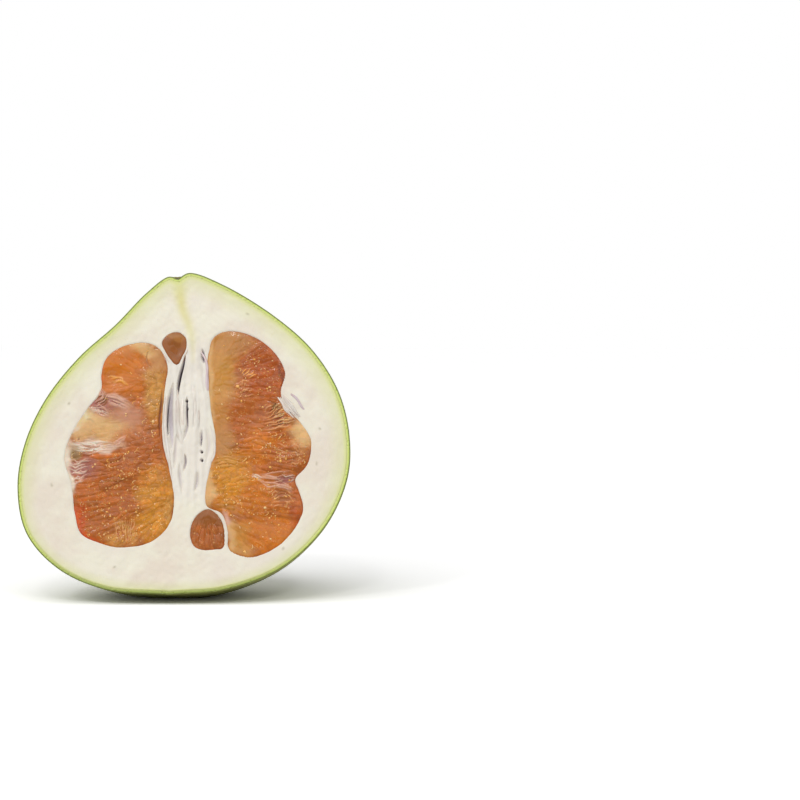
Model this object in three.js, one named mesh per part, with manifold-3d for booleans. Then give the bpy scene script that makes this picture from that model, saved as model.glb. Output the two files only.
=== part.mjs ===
// Half of a pomelo, cut lengthwise through the stem and standing on its rind, with the cut face leaning back.
// Every piece is drawn in the fruit's own frame, in millimetres: X to the right across the cut face, Y back
// from it, Z up the cut face from the foot of its rim. The whole half is then leaned back and set down.
import * as THREE from "three";
import { mergeVertices } from "three/addons/utils/BufferGeometryUtils.js";
import Module from "manifold-3d";

const wasm = await Module();
wasm.setup();

// Driving dimensions, in millimetres and degrees.
const LEAN = THREE.MathUtils.degToRad(10.5); // how far the cut face leans back from upright
const REST_DEPTH = 4.8; // how far the resting spot lies below the foot of the rim
const RIND = 1.6; // thickness of the green skin
const GAP = 0.3; // clearance between pieces that touch
const STEM_AXIS = -2.9; // across the cut face, where the stem scar sits
const BLOSSOM_AXIS = -5.0; // across the cut face, where the blossom end sits
const TOP = 146.8; // height of the stem dimple above the foot of the rim
const FURROW = 0.7; // depth of the shallow furrows that run down from the stem
const FURROW_WAVES = 9; // waves of furrows over the half turn round the back
const SEGMENT_DEPTH = 17; // how far a cut segment reaches behind the cut face
const TIP_DEPTH = 9; // the same for the tip of a segment that the cut only grazes
const SAC_RELIEF = 1.3; // how far the juice sacs stand out of the cut face
const CORE_DEPTH = 5.5; // depth of the splits in the spongy core
const PROUD = 3; // how far every cutter starts in front of the cut face

// Outer profiles from the stem dimple to the blossom end, as [distance from the axis, height].
// All three have their points at like heights, so that they blend round the back of the fruit.
const RIGHT_PROFILE = [
  [0, 146.8], [5.2, 149.6], [21, 144], [45.8, 128.8], [63.6, 112.9], [76.1, 93.2], [81.4, 72.1],
  [80.5, 52.6], [70.3, 30.2], [50.8, 11.8], [25.5, 2.2], [0, 0],
];
const LEFT_PROFILE = [
  [0, 146.8], [4.4, 147.8], [14.4, 140.2], [28.3, 125.2], [44.9, 109.7], [59.6, 90.2], [68.4, 69.7],
  [71, 49], [66.1, 28], [51.3, 12], [29.5, 2.4], [0, 0],
];
const BACK_PROFILE = [
  [0, 146.8], [5, 148.6], [18, 142.4], [37, 127], [55, 111], [69, 91.5], [76, 71], [77, 50.5], [71, 28.5],
  [60, 9.5], [40, 0.9], [0, 0],
];

// Outlines of the cut segments on the cut face, as [across, up].
const LEFT_SEGMENT = [
  [-16.5, 116.3], [-26.8, 115.3], [-35.2, 109.9], [-37.8, 101.8], [-37.6, 94.9], [-44.3, 85],
  [-51.3, 73.4], [-54.1, 62.4], [-50.6, 50.8], [-48.6, 37.2], [-45.8, 28.1], [-36, 23.1], [-26.4, 21.5],
  [-13.5, 24.1], [-5, 32.6], [-3.4, 42.1], [-5, 55.7], [-8.7, 69.4], [-9.1, 82.5], [-7.9, 97.5],
  [-7, 104.9], [-10.8, 113.6],
];
const RIGHT_SEGMENT = [
  [21.6, 122], [14, 118.9], [12, 111.6], [12.1, 97.5], [13.2, 84.5], [15.6, 70.4], [13.6, 60.3],
  [11.2, 48.3], [11.8, 40.7], [18.6, 37.1], [21.6, 29.2], [22.4, 20.7], [31, 17.1], [41, 19.8],
  [50.6, 27.8], [56.1, 38.7], [54.1, 47.6], [52.4, 52.9], [58, 59.9], [59.6, 70.4], [55, 78.8],
  [47.8, 86.4], [45.4, 93.8], [47.4, 102.1], [43, 111.2], [33.2, 119.2],
];
const UPPER_TIP = [
  [-2.8, 121.5], [-7.3, 120.2], [-9.9, 116.7], [-8.3, 112.6], [-5.9, 108.9], [-3, 106.3], [-0.5, 109.8],
  [1.5, 114.3], [1, 119],
];
const LOWER_TIP = [
  [12.1, 39], [7.8, 36.6], [5, 31.8], [4.6, 26.1], [6.5, 22], [10.9, 20.4], [15.9, 20.7], [19.4, 21.5],
  [20.1, 26.1], [19.2, 32.2], [16.4, 36.8],
];

// Splits of the spongy core: each runs down the cut face through its points, as [across, up].
const CORE_SPLITS = [
  { width: 3.4, path: [[-3.6, 101], [-4.9, 92], [-5.5, 78], [-5.2, 68], [-3.4, 58]] },
  { width: 3, path: [[1, 110], [-0.4, 101], [-1.8, 92], [-1.6, 83]] },
  { width: 1.8, path: [[2.4, 94], [2.6, 85], [2, 76], [0.8, 66]] },
  { width: 2.4, path: [[8.4, 115], [8.4, 108], [9.2, 100]] },
  { width: 1.8, path: [[6.4, 96], [7, 84], [8.6, 73], [9, 60]] },
  { width: 2.2, path: [[11.4, 84], [12.6, 75], [12.6, 66], [10.2, 56]] },
];

// Steps of the grids, and the distance under which two points count as one.
const ROUND = 30; // round the back of the fruit
const DOWN = 28; // from the stem to the blossom end
const BOWL_RINGS = 5; // from the edge of a pocket to its bottom
const SPLIT_LENGTH = 12; // along a split of the core
const SPLIT_WIDTH = 6; // across a split of the core
const WELD = 1e-4;

// One smooth curve through [x, y] points.
function curveThrough(points, closed = false) {
  const knots = points.map(([x, y]) => new THREE.Vector3(x, y, 0));
  return new THREE.CatmullRomCurve3(knots, closed, "centripetal");
}

// A closed curve through an outline, always run anticlockwise as seen from the front.
function loopThrough(outline) {
  const corners = outline.map(([x, y]) => new THREE.Vector2(x, y));
  return curveThrough(THREE.ShapeUtils.isClockWise(corners) ? [...outline].reverse() : outline, true);
}

const profiles = {
  right: curveThrough(RIGHT_PROFILE),
  left: curveThrough(LEFT_PROFILE),
  back: curveThrough(BACK_PROFILE),
};

// A point of the skin. turn runs from 0 at the right rim through PI/2 at the back to PI at the left rim,
// and down from 0 at the stem to 1 at the blossom end. Squared cosine and sine share out the three profiles.
function skinPoint(turn, down) {
  const sideShare = Math.cos(turn) ** 2;
  const side = (turn < Math.PI / 2 ? profiles.right : profiles.left).getPoint(down);
  const back = profiles.back.getPoint(down);
  const fade = Math.sin(turn) * Math.sin(Math.PI * Math.sqrt(down)) ** 2 * (1 - down);
  const furrow = FURROW * Math.cos(FURROW_WAVES * turn) * fade;
  const radius = side.x * sideShare + back.x * (1 - sideShare) - furrow;
  const height = side.y * sideShare + back.y * (1 - sideShare);
  const axis = THREE.MathUtils.lerp(BLOSSOM_AXIS, STEM_AXIS, height / TOP);
  return new THREE.Vector3(axis + radius * Math.cos(turn), radius * Math.sin(turn), height);
}

// The skin point moved straight in by a distance, square to the skin.
function insetPoint(turn, down, inset) {
  const step = 1e-3;
  const [lowDown, highDown] = [Math.max(down - step, step), Math.min(down + step, 1 - step)];
  const nearTurn = THREE.MathUtils.clamp(turn, step, Math.PI - step);
  const alongTurn = skinPoint(nearTurn + step, (lowDown + highDown) / 2)
    .sub(skinPoint(nearTurn - step, (lowDown + highDown) / 2));
  const alongDown = skinPoint(turn, highDown).sub(skinPoint(turn, lowDown));
  const inward = alongTurn.cross(alongDown).normalize();
  if (turn < step || turn > Math.PI - step) inward.y = 0;
  return skinPoint(turn, down).addScaledVector(inward.normalize(), inset);
}

// A closed geometry as the boolean library holds it: shared points are welded and empty triangles dropped.
function solidOf(geometry) {
  const merged = mergeVertices(geometry, WELD);
  const index = merged.index.array;
  const kept = [];
  for (let i = 0; i < index.length; i += 3) {
    const [a, b, c] = index.slice(i, i + 3);
    if (a !== b && b !== c && c !== a) kept.push(a, b, c);
  }
  const vertProperties = merged.attributes.position.array;
  return new wasm.Manifold(new wasm.Mesh({ numProp: 3, vertProperties, triVerts: new Uint32Array(kept) }));
}

// A closed solid from a list of points and a list of triangles.
function solidFrom(points, triangles) {
  const geometry = new THREE.BufferGeometry().setFromPoints(points);
  geometry.setIndex(triangles);
  return solidOf(geometry);
}

// Half a fruit: the skin moved in by inset, closed by a flat face at the distance ahead of the cut plane.
// The poles are single points, and the face is a fan from the middle of the fruit.
function halfFruit(inset, ahead = 0) {
  const points = [];
  for (let i = 0; i <= DOWN; i++) {
    for (let j = 0; j <= ROUND; j++) {
      const pole = i === 0 || i === DOWN;
      points.push(insetPoint(pole ? Math.PI / 2 : (Math.PI * j) / ROUND, i / DOWN, inset));
      if (pole) points.at(-1).y = 0;
    }
  }
  const triangles = [];
  const at = (i, j) => i * (ROUND + 1) + j;
  for (let i = 0; i < DOWN; i++) {
    for (let j = 0; j < ROUND; j++) {
      triangles.push(at(i, j), at(i + 1, j + 1), at(i, j + 1), at(i, j), at(i + 1, j), at(i + 1, j + 1));
    }
  }
  const rim = [];
  for (let i = 0; i <= DOWN; i++) rim.push(at(i, 0));
  for (let i = DOWN - 1; i > 0; i--) rim.push(at(i, ROUND));
  const front = rim.map((k) => points.push(points[k].clone().setY(-ahead)) - 1);
  const centre = points.push(new THREE.Vector3(STEM_AXIS, -ahead, TOP / 2)) - 1;
  rim.forEach((k, n) => {
    const m = (n + 1) % rim.length;
    if (ahead > 0) triangles.push(k, front[m], rim[m], k, front[n], front[m]);
    triangles.push(centre, front[m], front[n]);
  });
  return solidFrom(points, triangles);
}

// A bowl that fills a closed outline on the cut face. Rings shrink from the outline to its middle: those of
// the front stand out by the relief, and those of the back follow a quarter ellipse down to the depth.
function bowl(outline, { depth, around, rings, grow = 0, ahead = 0, relief = () => 0 }) {
  const curve = loopThrough(outline);
  const rim = [];
  const middle = new THREE.Vector2();
  for (let j = 0; j < around; j++) {
    const here = curve.getPointAt(j / around);
    const tangent = curve.getTangentAt(j / around);
    middle.add(here);
    rim.push(new THREE.Vector2(here.x + tangent.y * grow, here.y - tangent.x * grow));
  }
  middle.divideScalar(around);
  const points = [];
  const rows = [];
  const addRow = (share, distance) => {
    const ring = rim.map((p) => p.clone().sub(middle).multiplyScalar(share).add(middle));
    rows.push(ring.map((p, j) => points.push(new THREE.Vector3(p.x, distance(j / around), p.y)) - 1));
  };
  for (let k = 0; k <= rings; k++) addRow(k / rings, (turn) => -ahead - relief(k / rings, turn));
  if (ahead > 0) addRow(1, () => 0);
  for (let k = 1; k <= BOWL_RINGS; k++) {
    const angle = (Math.PI / 2) * (k / BOWL_RINGS);
    addRow(Math.cos(angle), () => (depth + grow) * Math.sin(angle));
  }
  const triangles = [];
  for (let k = 0; k + 1 < rows.length; k++) {
    for (let j = 0; j < around; j++) {
      const m = (j + 1) % around;
      const [a, b, c, d] = [rows[k][j], rows[k][m], rows[k + 1][m], rows[k + 1][j]];
      triangles.push(a, d, c, a, c, b);
    }
  }
  return solidFrom(points, triangles);
}

// Juice sacs as relief: they fan out from the middle of the segment in staggered rows, each a rounded ridge.
// share runs from 0 in the middle to 1 at the edge, and the relief fades to nothing at both.
function sacRelief({ sacs, rows, height }) {
  return (share, turn) => {
    const row = Math.floor(share * rows);
    const across = Math.abs(Math.sin(Math.PI * (turn * sacs + (row % 2) / 2)));
    const along = 0.3 + 0.7 * Math.sin(Math.PI * (share * rows - row));
    const fade = Math.min(1, 6 * share, 6 * (1 - share));
    return height * fade * (across * along - 0.45);
  };
}

// A long blade that cuts one split into the core: a ribbon that follows the path, deepest in its middle.
function splitCutter({ width, path }) {
  const curve = curveThrough(path);
  const points = [];
  for (let i = 0; i <= SPLIT_LENGTH; i++) {
    const share = i / SPLIT_LENGTH;
    const here = curve.getPointAt(share);
    const tangent = curve.getTangentAt(share);
    const taper = 0.15 + 0.85 * Math.sin(Math.PI * share);
    for (let j = 0; j <= SPLIT_WIDTH; j++) {
      const side = (2 * j) / SPLIT_WIDTH - 1;
      const x = here.x + tangent.y * side * taper * (width / 2);
      const z = here.y - tangent.x * side * taper * (width / 2);
      const depth = CORE_DEPTH * taper * (1 - side ** 2);
      points.push(new THREE.Vector3(x, -PROUD, z), new THREE.Vector3(x, depth, z));
    }
  }
  const front = (i, j) => (i * (SPLIT_WIDTH + 1) + j) * 2;
  const back = (i, j) => front(i, j) + 1;
  const triangles = [];
  const quad = (a, b, c, d) => triangles.push(a, c, b, a, d, c);
  for (let i = 0; i < SPLIT_LENGTH; i++) {
    for (let j = 0; j < SPLIT_WIDTH; j++) {
      quad(front(i, j), front(i + 1, j), front(i + 1, j + 1), front(i, j + 1));
      quad(back(i, j), back(i, j + 1), back(i + 1, j + 1), back(i + 1, j));
    }
    quad(front(i, 0), back(i, 0), back(i + 1, 0), front(i + 1, 0));
    quad(front(i, SPLIT_WIDTH), front(i + 1, SPLIT_WIDTH), back(i + 1, SPLIT_WIDTH), back(i, SPLIT_WIDTH));
  }
  const end = SPLIT_LENGTH;
  for (let j = 0; j < SPLIT_WIDTH; j++) {
    quad(front(0, j), front(0, j + 1), back(0, j + 1), back(0, j));
    quad(front(end, j), back(end, j), back(end, j + 1), front(end, j + 1));
  }
  return solidFrom(points, triangles);
}

// The space under the resting spot, in the fruit's own frame: a wide block turned by the lean.
function underTheSpot(lift = 0) {
  const [breadth, height] = [400, 60];
  const block = new THREE.BoxGeometry(breadth, breadth, height);
  block.translate(0, 0, lift - REST_DEPTH - height / 2);
  block.rotateX(LEAN);
  block.deleteAttribute("normal");
  block.deleteAttribute("uv");
  return solidOf(block);
}

// A named mesh of a finished solid, in the colour and finish of its tissue.
function meshOf(name, solid, color, roughness) {
  const made = solid.getMesh();
  const geometry = new THREE.BufferGeometry();
  geometry.setAttribute("position", new THREE.BufferAttribute(new Float32Array(made.vertProperties), 3));
  geometry.setIndex(new THREE.BufferAttribute(new Uint32Array(made.triVerts), 1));
  geometry.computeVertexNormals();
  const mesh = new THREE.Mesh(geometry, new THREE.MeshStandardMaterial({ color, roughness, metalness: 0 }));
  mesh.name = name;
  return mesh;
}

const BIG = { depth: SEGMENT_DEPTH, around: 72, rings: 8, sacs: 24, rows: 3, height: SAC_RELIEF };
const SMALL = { depth: TIP_DEPTH, around: 24, rings: 4, sacs: 8, rows: 1, height: SAC_RELIEF / 2 };
const SEGMENTS = [
  { name: "segment_left", outline: LEFT_SEGMENT, ...BIG },
  { name: "segment_right", outline: RIGHT_SEGMENT, ...BIG },
  { name: "segment_tip_upper", outline: UPPER_TIP, ...SMALL },
  { name: "segment_tip_lower", outline: LOWER_TIP, ...SMALL },
];

// The green skin: a shell that follows the fruit, open at the cut face and flattened where it rests.
function rind() {
  return halfFruit(0).subtract(halfFruit(RIND, PROUD)).subtract(underTheSpot());
}

// The white pith with the core: it fills the skin, holds a pocket for each segment, and the core is split.
// Splits that run into a pocket can free a sliver of the wall, so only the largest body is kept.
function pith() {
  let solid = halfFruit(RIND + GAP).subtract(underTheSpot(RIND + GAP));
  for (const { outline, depth, around } of SEGMENTS) {
    solid = solid.subtract(bowl(outline, { depth, around, rings: 1, grow: GAP, ahead: PROUD }));
  }
  for (const split of CORE_SPLITS) solid = solid.subtract(splitCutter(split));
  return solid.decompose().sort((a, b) => b.volume() - a.volume())[0];
}

// One cut segment of pulp, with its juice sacs standing out of the cut face.
function segment({ outline, depth, around, rings, ...sacs }) {
  return bowl(outline, { depth, around, rings, relief: sacRelief(sacs) });
}

const fruit = new THREE.Group();
fruit.add(meshOf("rind", rind(), "#9fb04a", 0.4));
fruit.add(meshOf("pith", pith(), "#ece6d2", 0.7));
for (const each of SEGMENTS) fruit.add(meshOf(each.name, segment(each), "#cf7f3c", 0.3));

// Leaned back, then set down with the middle of its box over the origin.
fruit.rotation.x = -LEAN;
const standing = new THREE.Group();
standing.add(fruit);
standing.updateMatrixWorld(true);
const reach = new THREE.Box3().setFromObject(fruit, true);
const middle = reach.getCenter(new THREE.Vector3());
fruit.position.set(-middle.x, -middle.y, -reach.min.z);

export default standing;
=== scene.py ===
"""Looks of a half pomelo: fine surfaces and finishes for its rind, pith, core and pulp.

The pieces are drawn in the fruit's own frame, in millimetres: u across the cut face, w straight back from
it and v up it from the foot of the rim. Standing.place turns that into the row frame, in metres.
"""

from __future__ import annotations

import logging
import math
from dataclasses import dataclass, field
from enum import Enum

import bpy
import numpy as np
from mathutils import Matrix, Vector

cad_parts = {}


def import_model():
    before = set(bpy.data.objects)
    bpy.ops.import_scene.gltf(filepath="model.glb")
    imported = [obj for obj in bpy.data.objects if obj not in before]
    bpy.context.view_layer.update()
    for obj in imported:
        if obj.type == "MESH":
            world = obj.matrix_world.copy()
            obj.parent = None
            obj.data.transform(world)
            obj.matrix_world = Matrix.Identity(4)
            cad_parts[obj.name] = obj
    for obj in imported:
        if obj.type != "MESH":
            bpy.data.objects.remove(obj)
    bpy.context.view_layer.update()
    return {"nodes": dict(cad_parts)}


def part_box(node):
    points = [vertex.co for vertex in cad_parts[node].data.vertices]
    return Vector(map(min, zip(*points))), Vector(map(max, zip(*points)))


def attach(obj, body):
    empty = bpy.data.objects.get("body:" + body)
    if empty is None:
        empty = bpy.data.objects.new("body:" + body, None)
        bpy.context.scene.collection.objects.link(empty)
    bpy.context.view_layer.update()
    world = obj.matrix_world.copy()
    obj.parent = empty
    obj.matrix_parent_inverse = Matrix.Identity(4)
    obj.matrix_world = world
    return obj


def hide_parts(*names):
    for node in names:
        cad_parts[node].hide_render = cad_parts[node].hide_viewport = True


LOG = logging.getLogger("half_pomelo")
MM = 0.001
BODY = "root"
SAC_DRAWS = 4096
WET_VEIL = 0.023

Pairs = tuple[tuple[float, float], ...]
Point = tuple[float, float, float]
Colour = tuple[float, float, float, float]
Values = dict[str, np.ndarray]
Node = bpy.types.Node
Socket = bpy.types.NodeSocket
Material = bpy.types.Material
Object = bpy.types.Object
Tree = bpy.types.NodeTree


class Tissue(Enum):
    """The record's material slots, one for each tissue that shows."""

    RIND = "rind"
    PITH = "pith"
    PULP = "pulp"
    TIP = "pulp_tip"


class Kind(Enum):
    """The kinds of socket that a shader group can have."""

    VALUE = "NodeSocketFloat"
    COLOUR = "NodeSocketColor"
    VECTOR = "NodeSocketVector"


def srgb(red: float, green: float, blue: float) -> Colour:
    """Turns a colour in display values from 0 to 255 into linear light with full alpha.

    The display curve is a line up to 0.04045 and a power of 2.4 above it.

    Args:
        red, green, blue: the display values.

    Returns:
        The linear colour, with alpha 1.
    """
    display = np.array([red, green, blue]) / 255
    linear = np.where(display <= 0.04045, display / 12.92, ((display + 0.055) / 1.055) ** 2.4)
    return (float(linear[0]), float(linear[1]), float(linear[2]), 1.0)


def step(low: float, high: float, value: np.ndarray) -> np.ndarray:
    """Smooth step from 0 at low to 1 at high: t squared times 3 less 2 t, with t the clipped share."""
    share = np.clip((value - low) / (high - low), 0, 1)
    return share * share * (3 - 2 * share)


@dataclass(frozen=True)
class Spline:
    """A centripetal Catmull-Rom curve through points of the plane."""

    knots: Pairs
    closed: bool = False

    def at(self, share: np.ndarray) -> np.ndarray:
        """Points at shares of the curve, where every stretch between two knots counts alike.

        Each stretch is the cubic a + b t + c t^2 + d t^3 whose end slopes come from the spacing of the four
        knots around it, each spacing being the square root of the distance.

        Args:
            share: any array of shares from 0 to 1.

        Returns:
            An array of the same shape with one more axis of length 2.
        """
        points = np.array(self.knots, float)
        count = len(points)
        if self.closed:
            padded = np.concatenate([points[-1:], points, points[:2]])
            stretches = count
        else:
            padded = np.concatenate([[2 * points[0] - points[1]], points, [2 * points[-1] - points[-2]]])
            stretches = count - 1
        along = np.clip(np.asarray(share, float), 0, 1) * stretches
        index = np.minimum(along.astype(int), stretches - 1)
        t = (along - index)[..., None]
        before, start, end, after = (padded[index + k] for k in range(4))
        gap_a, gap_b, gap_c = (
            np.linalg.norm(q - p, axis=-1, keepdims=True) ** 0.5
            for p, q in ((before, start), (start, end), (end, after))
        )
        slope_in = (start - before) / gap_a - (end - before) / (gap_a + gap_b) + (end - start) / gap_b
        slope_out = (end - start) / gap_b - (after - start) / (gap_b + gap_c) + (after - end) / gap_c
        slope_in, slope_out = slope_in * gap_b, slope_out * gap_b
        square = -3 * start + 3 * end - 2 * slope_in - slope_out
        cube = 2 * start - 2 * end + slope_in + slope_out
        return start + slope_in * t + square * t**2 + cube * t**3

    def even(self, count: int) -> np.ndarray:
        """Points at even distances along the curve, which is measured in 1600 short steps.

        Args:
            count: the number of points; a closed curve leaves out the repeat of its first one.

        Returns:
            An array of count by 2.
        """
        fine = self.at(np.linspace(0, 1, 1601))
        length = np.concatenate([[0], np.cumsum(np.linalg.norm(np.diff(fine, axis=0), axis=1))])
        steps = count if self.closed else count - 1
        wanted = np.linspace(0, length[-1], steps + 1)[:count]
        return np.stack([np.interp(wanted, length, fine[:, k]) for k in range(2)], axis=1)


def nearest_on_path(points: np.ndarray, path: np.ndarray) -> tuple[np.ndarray, np.ndarray]:
    """Distance from each point to a line of points, and the share of its length where the nearest one lies.

    Each point is projected on every stretch of the line, clipped to its ends, and the nearest is kept.

    Args:
        points: N points of the plane.
        path: the M points of the line, in order.

    Returns:
        N distances and N shares.
    """
    best = np.full(len(points), np.inf)
    share = np.zeros(len(points))
    stretches = len(path) - 1
    for number, (start, end) in enumerate(zip(path[:-1], path[1:], strict=True)):
        run = end - start
        part = np.clip(((points - start) @ run) / (run @ run), 0, 1)
        distance = np.hypot(*(points - start - part[:, None] * run).T)
        closer = distance < best
        best[closer] = distance[closer]
        share[closer] = (number + part[closer]) / stretches
    return best, share


def depth_inside(points: np.ndarray, loop: np.ndarray) -> np.ndarray:
    """Signed distance to a closed line, positive inside it and negative outside.

    A point is inside where a level line from it to the right crosses the loop an odd number of times.

    Args:
        points: N points of the plane.
        loop: the loop's points in order, without the repeat of the first one.

    Returns:
        N distances.
    """
    closed = np.concatenate([loop, loop[:1]])
    distance, _ = nearest_on_path(points, closed)
    inside = np.zeros(len(points), bool)
    for start, end in zip(closed[:-1], closed[1:], strict=True):
        spans = (start[1] > points[:, 1]) != (end[1] > points[:, 1])
        if spans.any():
            run = (end[0] - start[0]) / (end[1] - start[1])
            inside ^= spans & (points[:, 0] < start[0] + (points[:, 1] - start[1]) * run)
    return np.where(inside, distance, -distance)


@dataclass(frozen=True)
class Ripple:
    """Smooth random relief of about one wavelength, drawn out up the face by a stretch."""

    wavelength: float
    seed: int
    stretch: float = 1.0
    waves: int = 28

    def at(self, points: np.ndarray) -> np.ndarray:
        """Mean of sines with random directions, lengths and phases, scaled to stay mostly within -1 and 1.

        Args:
            points: N points, of two or three coordinates.

        Returns:
            N values.
        """
        random = np.random.default_rng(self.seed)
        axes = points.shape[1]
        heading = random.normal(size=(self.waves, axes))
        heading /= np.linalg.norm(heading, axis=1, keepdims=True)
        heading[:, -1] /= self.stretch
        heading *= 2 * math.pi / (self.wavelength * random.uniform(0.75, 1.5, (self.waves, 1)))
        phase = random.uniform(0, 2 * math.pi, self.waves)
        return np.sin(points @ heading.T + phase).sum(axis=1) / math.sqrt(self.waves)


@dataclass(frozen=True)
class Skin:
    """The outer form: three profiles from the stem to the blossom end, shared out round the back."""

    right: Spline = Spline((
        (0, 146.8), (5.2, 149.6), (21, 144), (45.8, 128.8), (63.6, 112.9), (76.1, 93.2), (81.4, 72.1),
        (80.5, 52.6), (70.3, 30.2), (50.8, 11.8), (25.5, 2.2), (0, 0),
    ))
    left: Spline = Spline((
        (0, 146.8), (4.4, 147.8), (14.4, 140.2), (28.3, 125.2), (44.9, 109.7), (59.6, 90.2), (68.4, 69.7),
        (71, 49), (66.1, 28), (51.3, 12), (29.5, 2.4), (0, 0),
    ))
    back: Spline = Spline((
        (0, 146.8), (5, 148.6), (18, 142.4), (37, 127), (55, 111), (69, 91.5), (76, 71), (77, 50.5),
        (71, 28.5), (60, 9.5), (40, 0.9), (0, 0),
    ))
    stem_axis: float = -2.9
    blossom_axis: float = -5.0
    top: float = 146.8
    furrow: float = 0.7
    furrow_waves: int = 9

    def point(self, turn: np.ndarray, down: np.ndarray) -> np.ndarray:
        """Points of the skin: squared cosine and sine of the turn share out the side and back profiles.

        Args:
            turn: angles from 0 at the right rim through pi / 2 at the back to pi at the left rim.
            down: shares from 0 at the stem to 1 at the blossom end, of the same shape.

        Returns:
            Points (u, w, v) in millimetres.
        """
        side_share = np.cos(turn)[..., None] ** 2
        side = np.where((turn < math.pi / 2)[..., None], self.right.at(down), self.left.at(down))
        blend = side * side_share + self.back.at(down) * (1 - side_share)
        fade = np.sin(turn) * np.sin(math.pi * np.sqrt(down)) ** 2 * (1 - down)
        radius = blend[..., 0] - self.furrow * np.cos(self.furrow_waves * turn) * fade
        height = blend[..., 1]
        axis = self.blossom_axis + (self.stem_axis - self.blossom_axis) * height / self.top
        return np.stack([axis + radius * np.cos(turn), radius * np.sin(turn), height], axis=-1)

    def inset(self, turn: np.ndarray, down: np.ndarray, depth: np.ndarray | float) -> np.ndarray:
        """The skin moved in by a depth along its own normal, which is kept in the cut plane at the rim.

        The normal is the cross product of a small step along the turn and one along the down. It points
        straight down at the stem and straight up at the blossom end.

        Args:
            turn: angles, as for point.
            down: shares, as for point.
            depth: millimetres inwards, of the same shape or one number.

        Returns:
            Points (u, w, v) in millimetres.
        """
        small = 1e-3
        low, high = np.maximum(down - small, small), np.minimum(down + small, 1 - small)
        near = np.clip(turn, small, math.pi - small)
        middle = (low + high) / 2
        along_turn = self.point(near + small, middle) - self.point(near - small, middle)
        along_down = self.point(turn, high) - self.point(turn, low)
        inward = np.cross(along_turn, along_down)
        in_cut = (turn < small) | (turn > math.pi - small)
        inward[..., 1] = np.where(in_cut, 0, inward[..., 1])
        inward /= np.linalg.norm(inward, axis=-1, keepdims=True)
        pole = (down < small) | (down > 1 - small)
        inward[pole] = (0, 0, 1)
        inward[down < small] = (0, 0, -1)
        return self.point(turn, down) + inward * np.asarray(depth)[..., None]

    @staticmethod
    def rows(count: int) -> np.ndarray:
        """Shares from the stem down, closer at both ends: 35% of a cosine wave and 65% of a line."""
        even = np.linspace(0, 1, count + 1)
        return 0.35 * (1 - np.cos(math.pi * even)) / 2 + 0.65 * even

    def rim(self, inset: float, count: int) -> np.ndarray:
        """The outline of the cut face, moved in by an inset: down its right side and up its left.

        Args:
            inset: millimetres inwards.
            count: the number of steps on each side.

        Returns:
            An array of 2 count points (u, v).
        """
        down = self.rows(count)
        right = self.inset(np.zeros(count + 1), down, inset)
        left = self.inset(np.full(count + 1, math.pi), down, inset)
        return np.concatenate([right, left[-2:0:-1]])[:, [0, 2]]


@dataclass(frozen=True)
class Standing:
    """Where the fruit's own frame stands in the row frame: leaned back, then moved."""

    move: Point
    lean: float = math.radians(10.5)
    rest_depth: float = 4.8

    @classmethod
    def from_frame(cls, skin: Skin, low: np.ndarray, high: np.ndarray) -> "Standing":
        """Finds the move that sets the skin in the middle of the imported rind's box.

        Args:
            skin: the outer form.
            low, high: the box's corners, in metres.

        Returns:
            The standing.
        """
        turn, down = np.meshgrid(np.linspace(0, math.pi, 61), np.linspace(0, 1, 57))
        loose = cls((0, 0, cls.rest_depth)).place(skin.point(turn, down).reshape(-1, 3)) / MM
        middle = (np.array(low) + np.array(high)) / 2 / MM - (loose.min(0) + loose.max(0)) / 2
        return cls((float(middle[0]), float(middle[1]), cls.rest_depth))

    def place(self, points: np.ndarray) -> np.ndarray:
        """Leans points back and moves them: y is w cos + v sin of the lean, and z is v cos - w sin.

        Args:
            points: N points (u, w, v) in millimetres.

        Returns:
            N points of the row frame in metres.
        """
        u, w, v = points.T
        cosine, sine = math.cos(self.lean), math.sin(self.lean)
        turned = np.stack([u, w * cosine + v * sine, v * cosine - w * sine], axis=1)
        return (turned + np.array(self.move)) * MM


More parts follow.
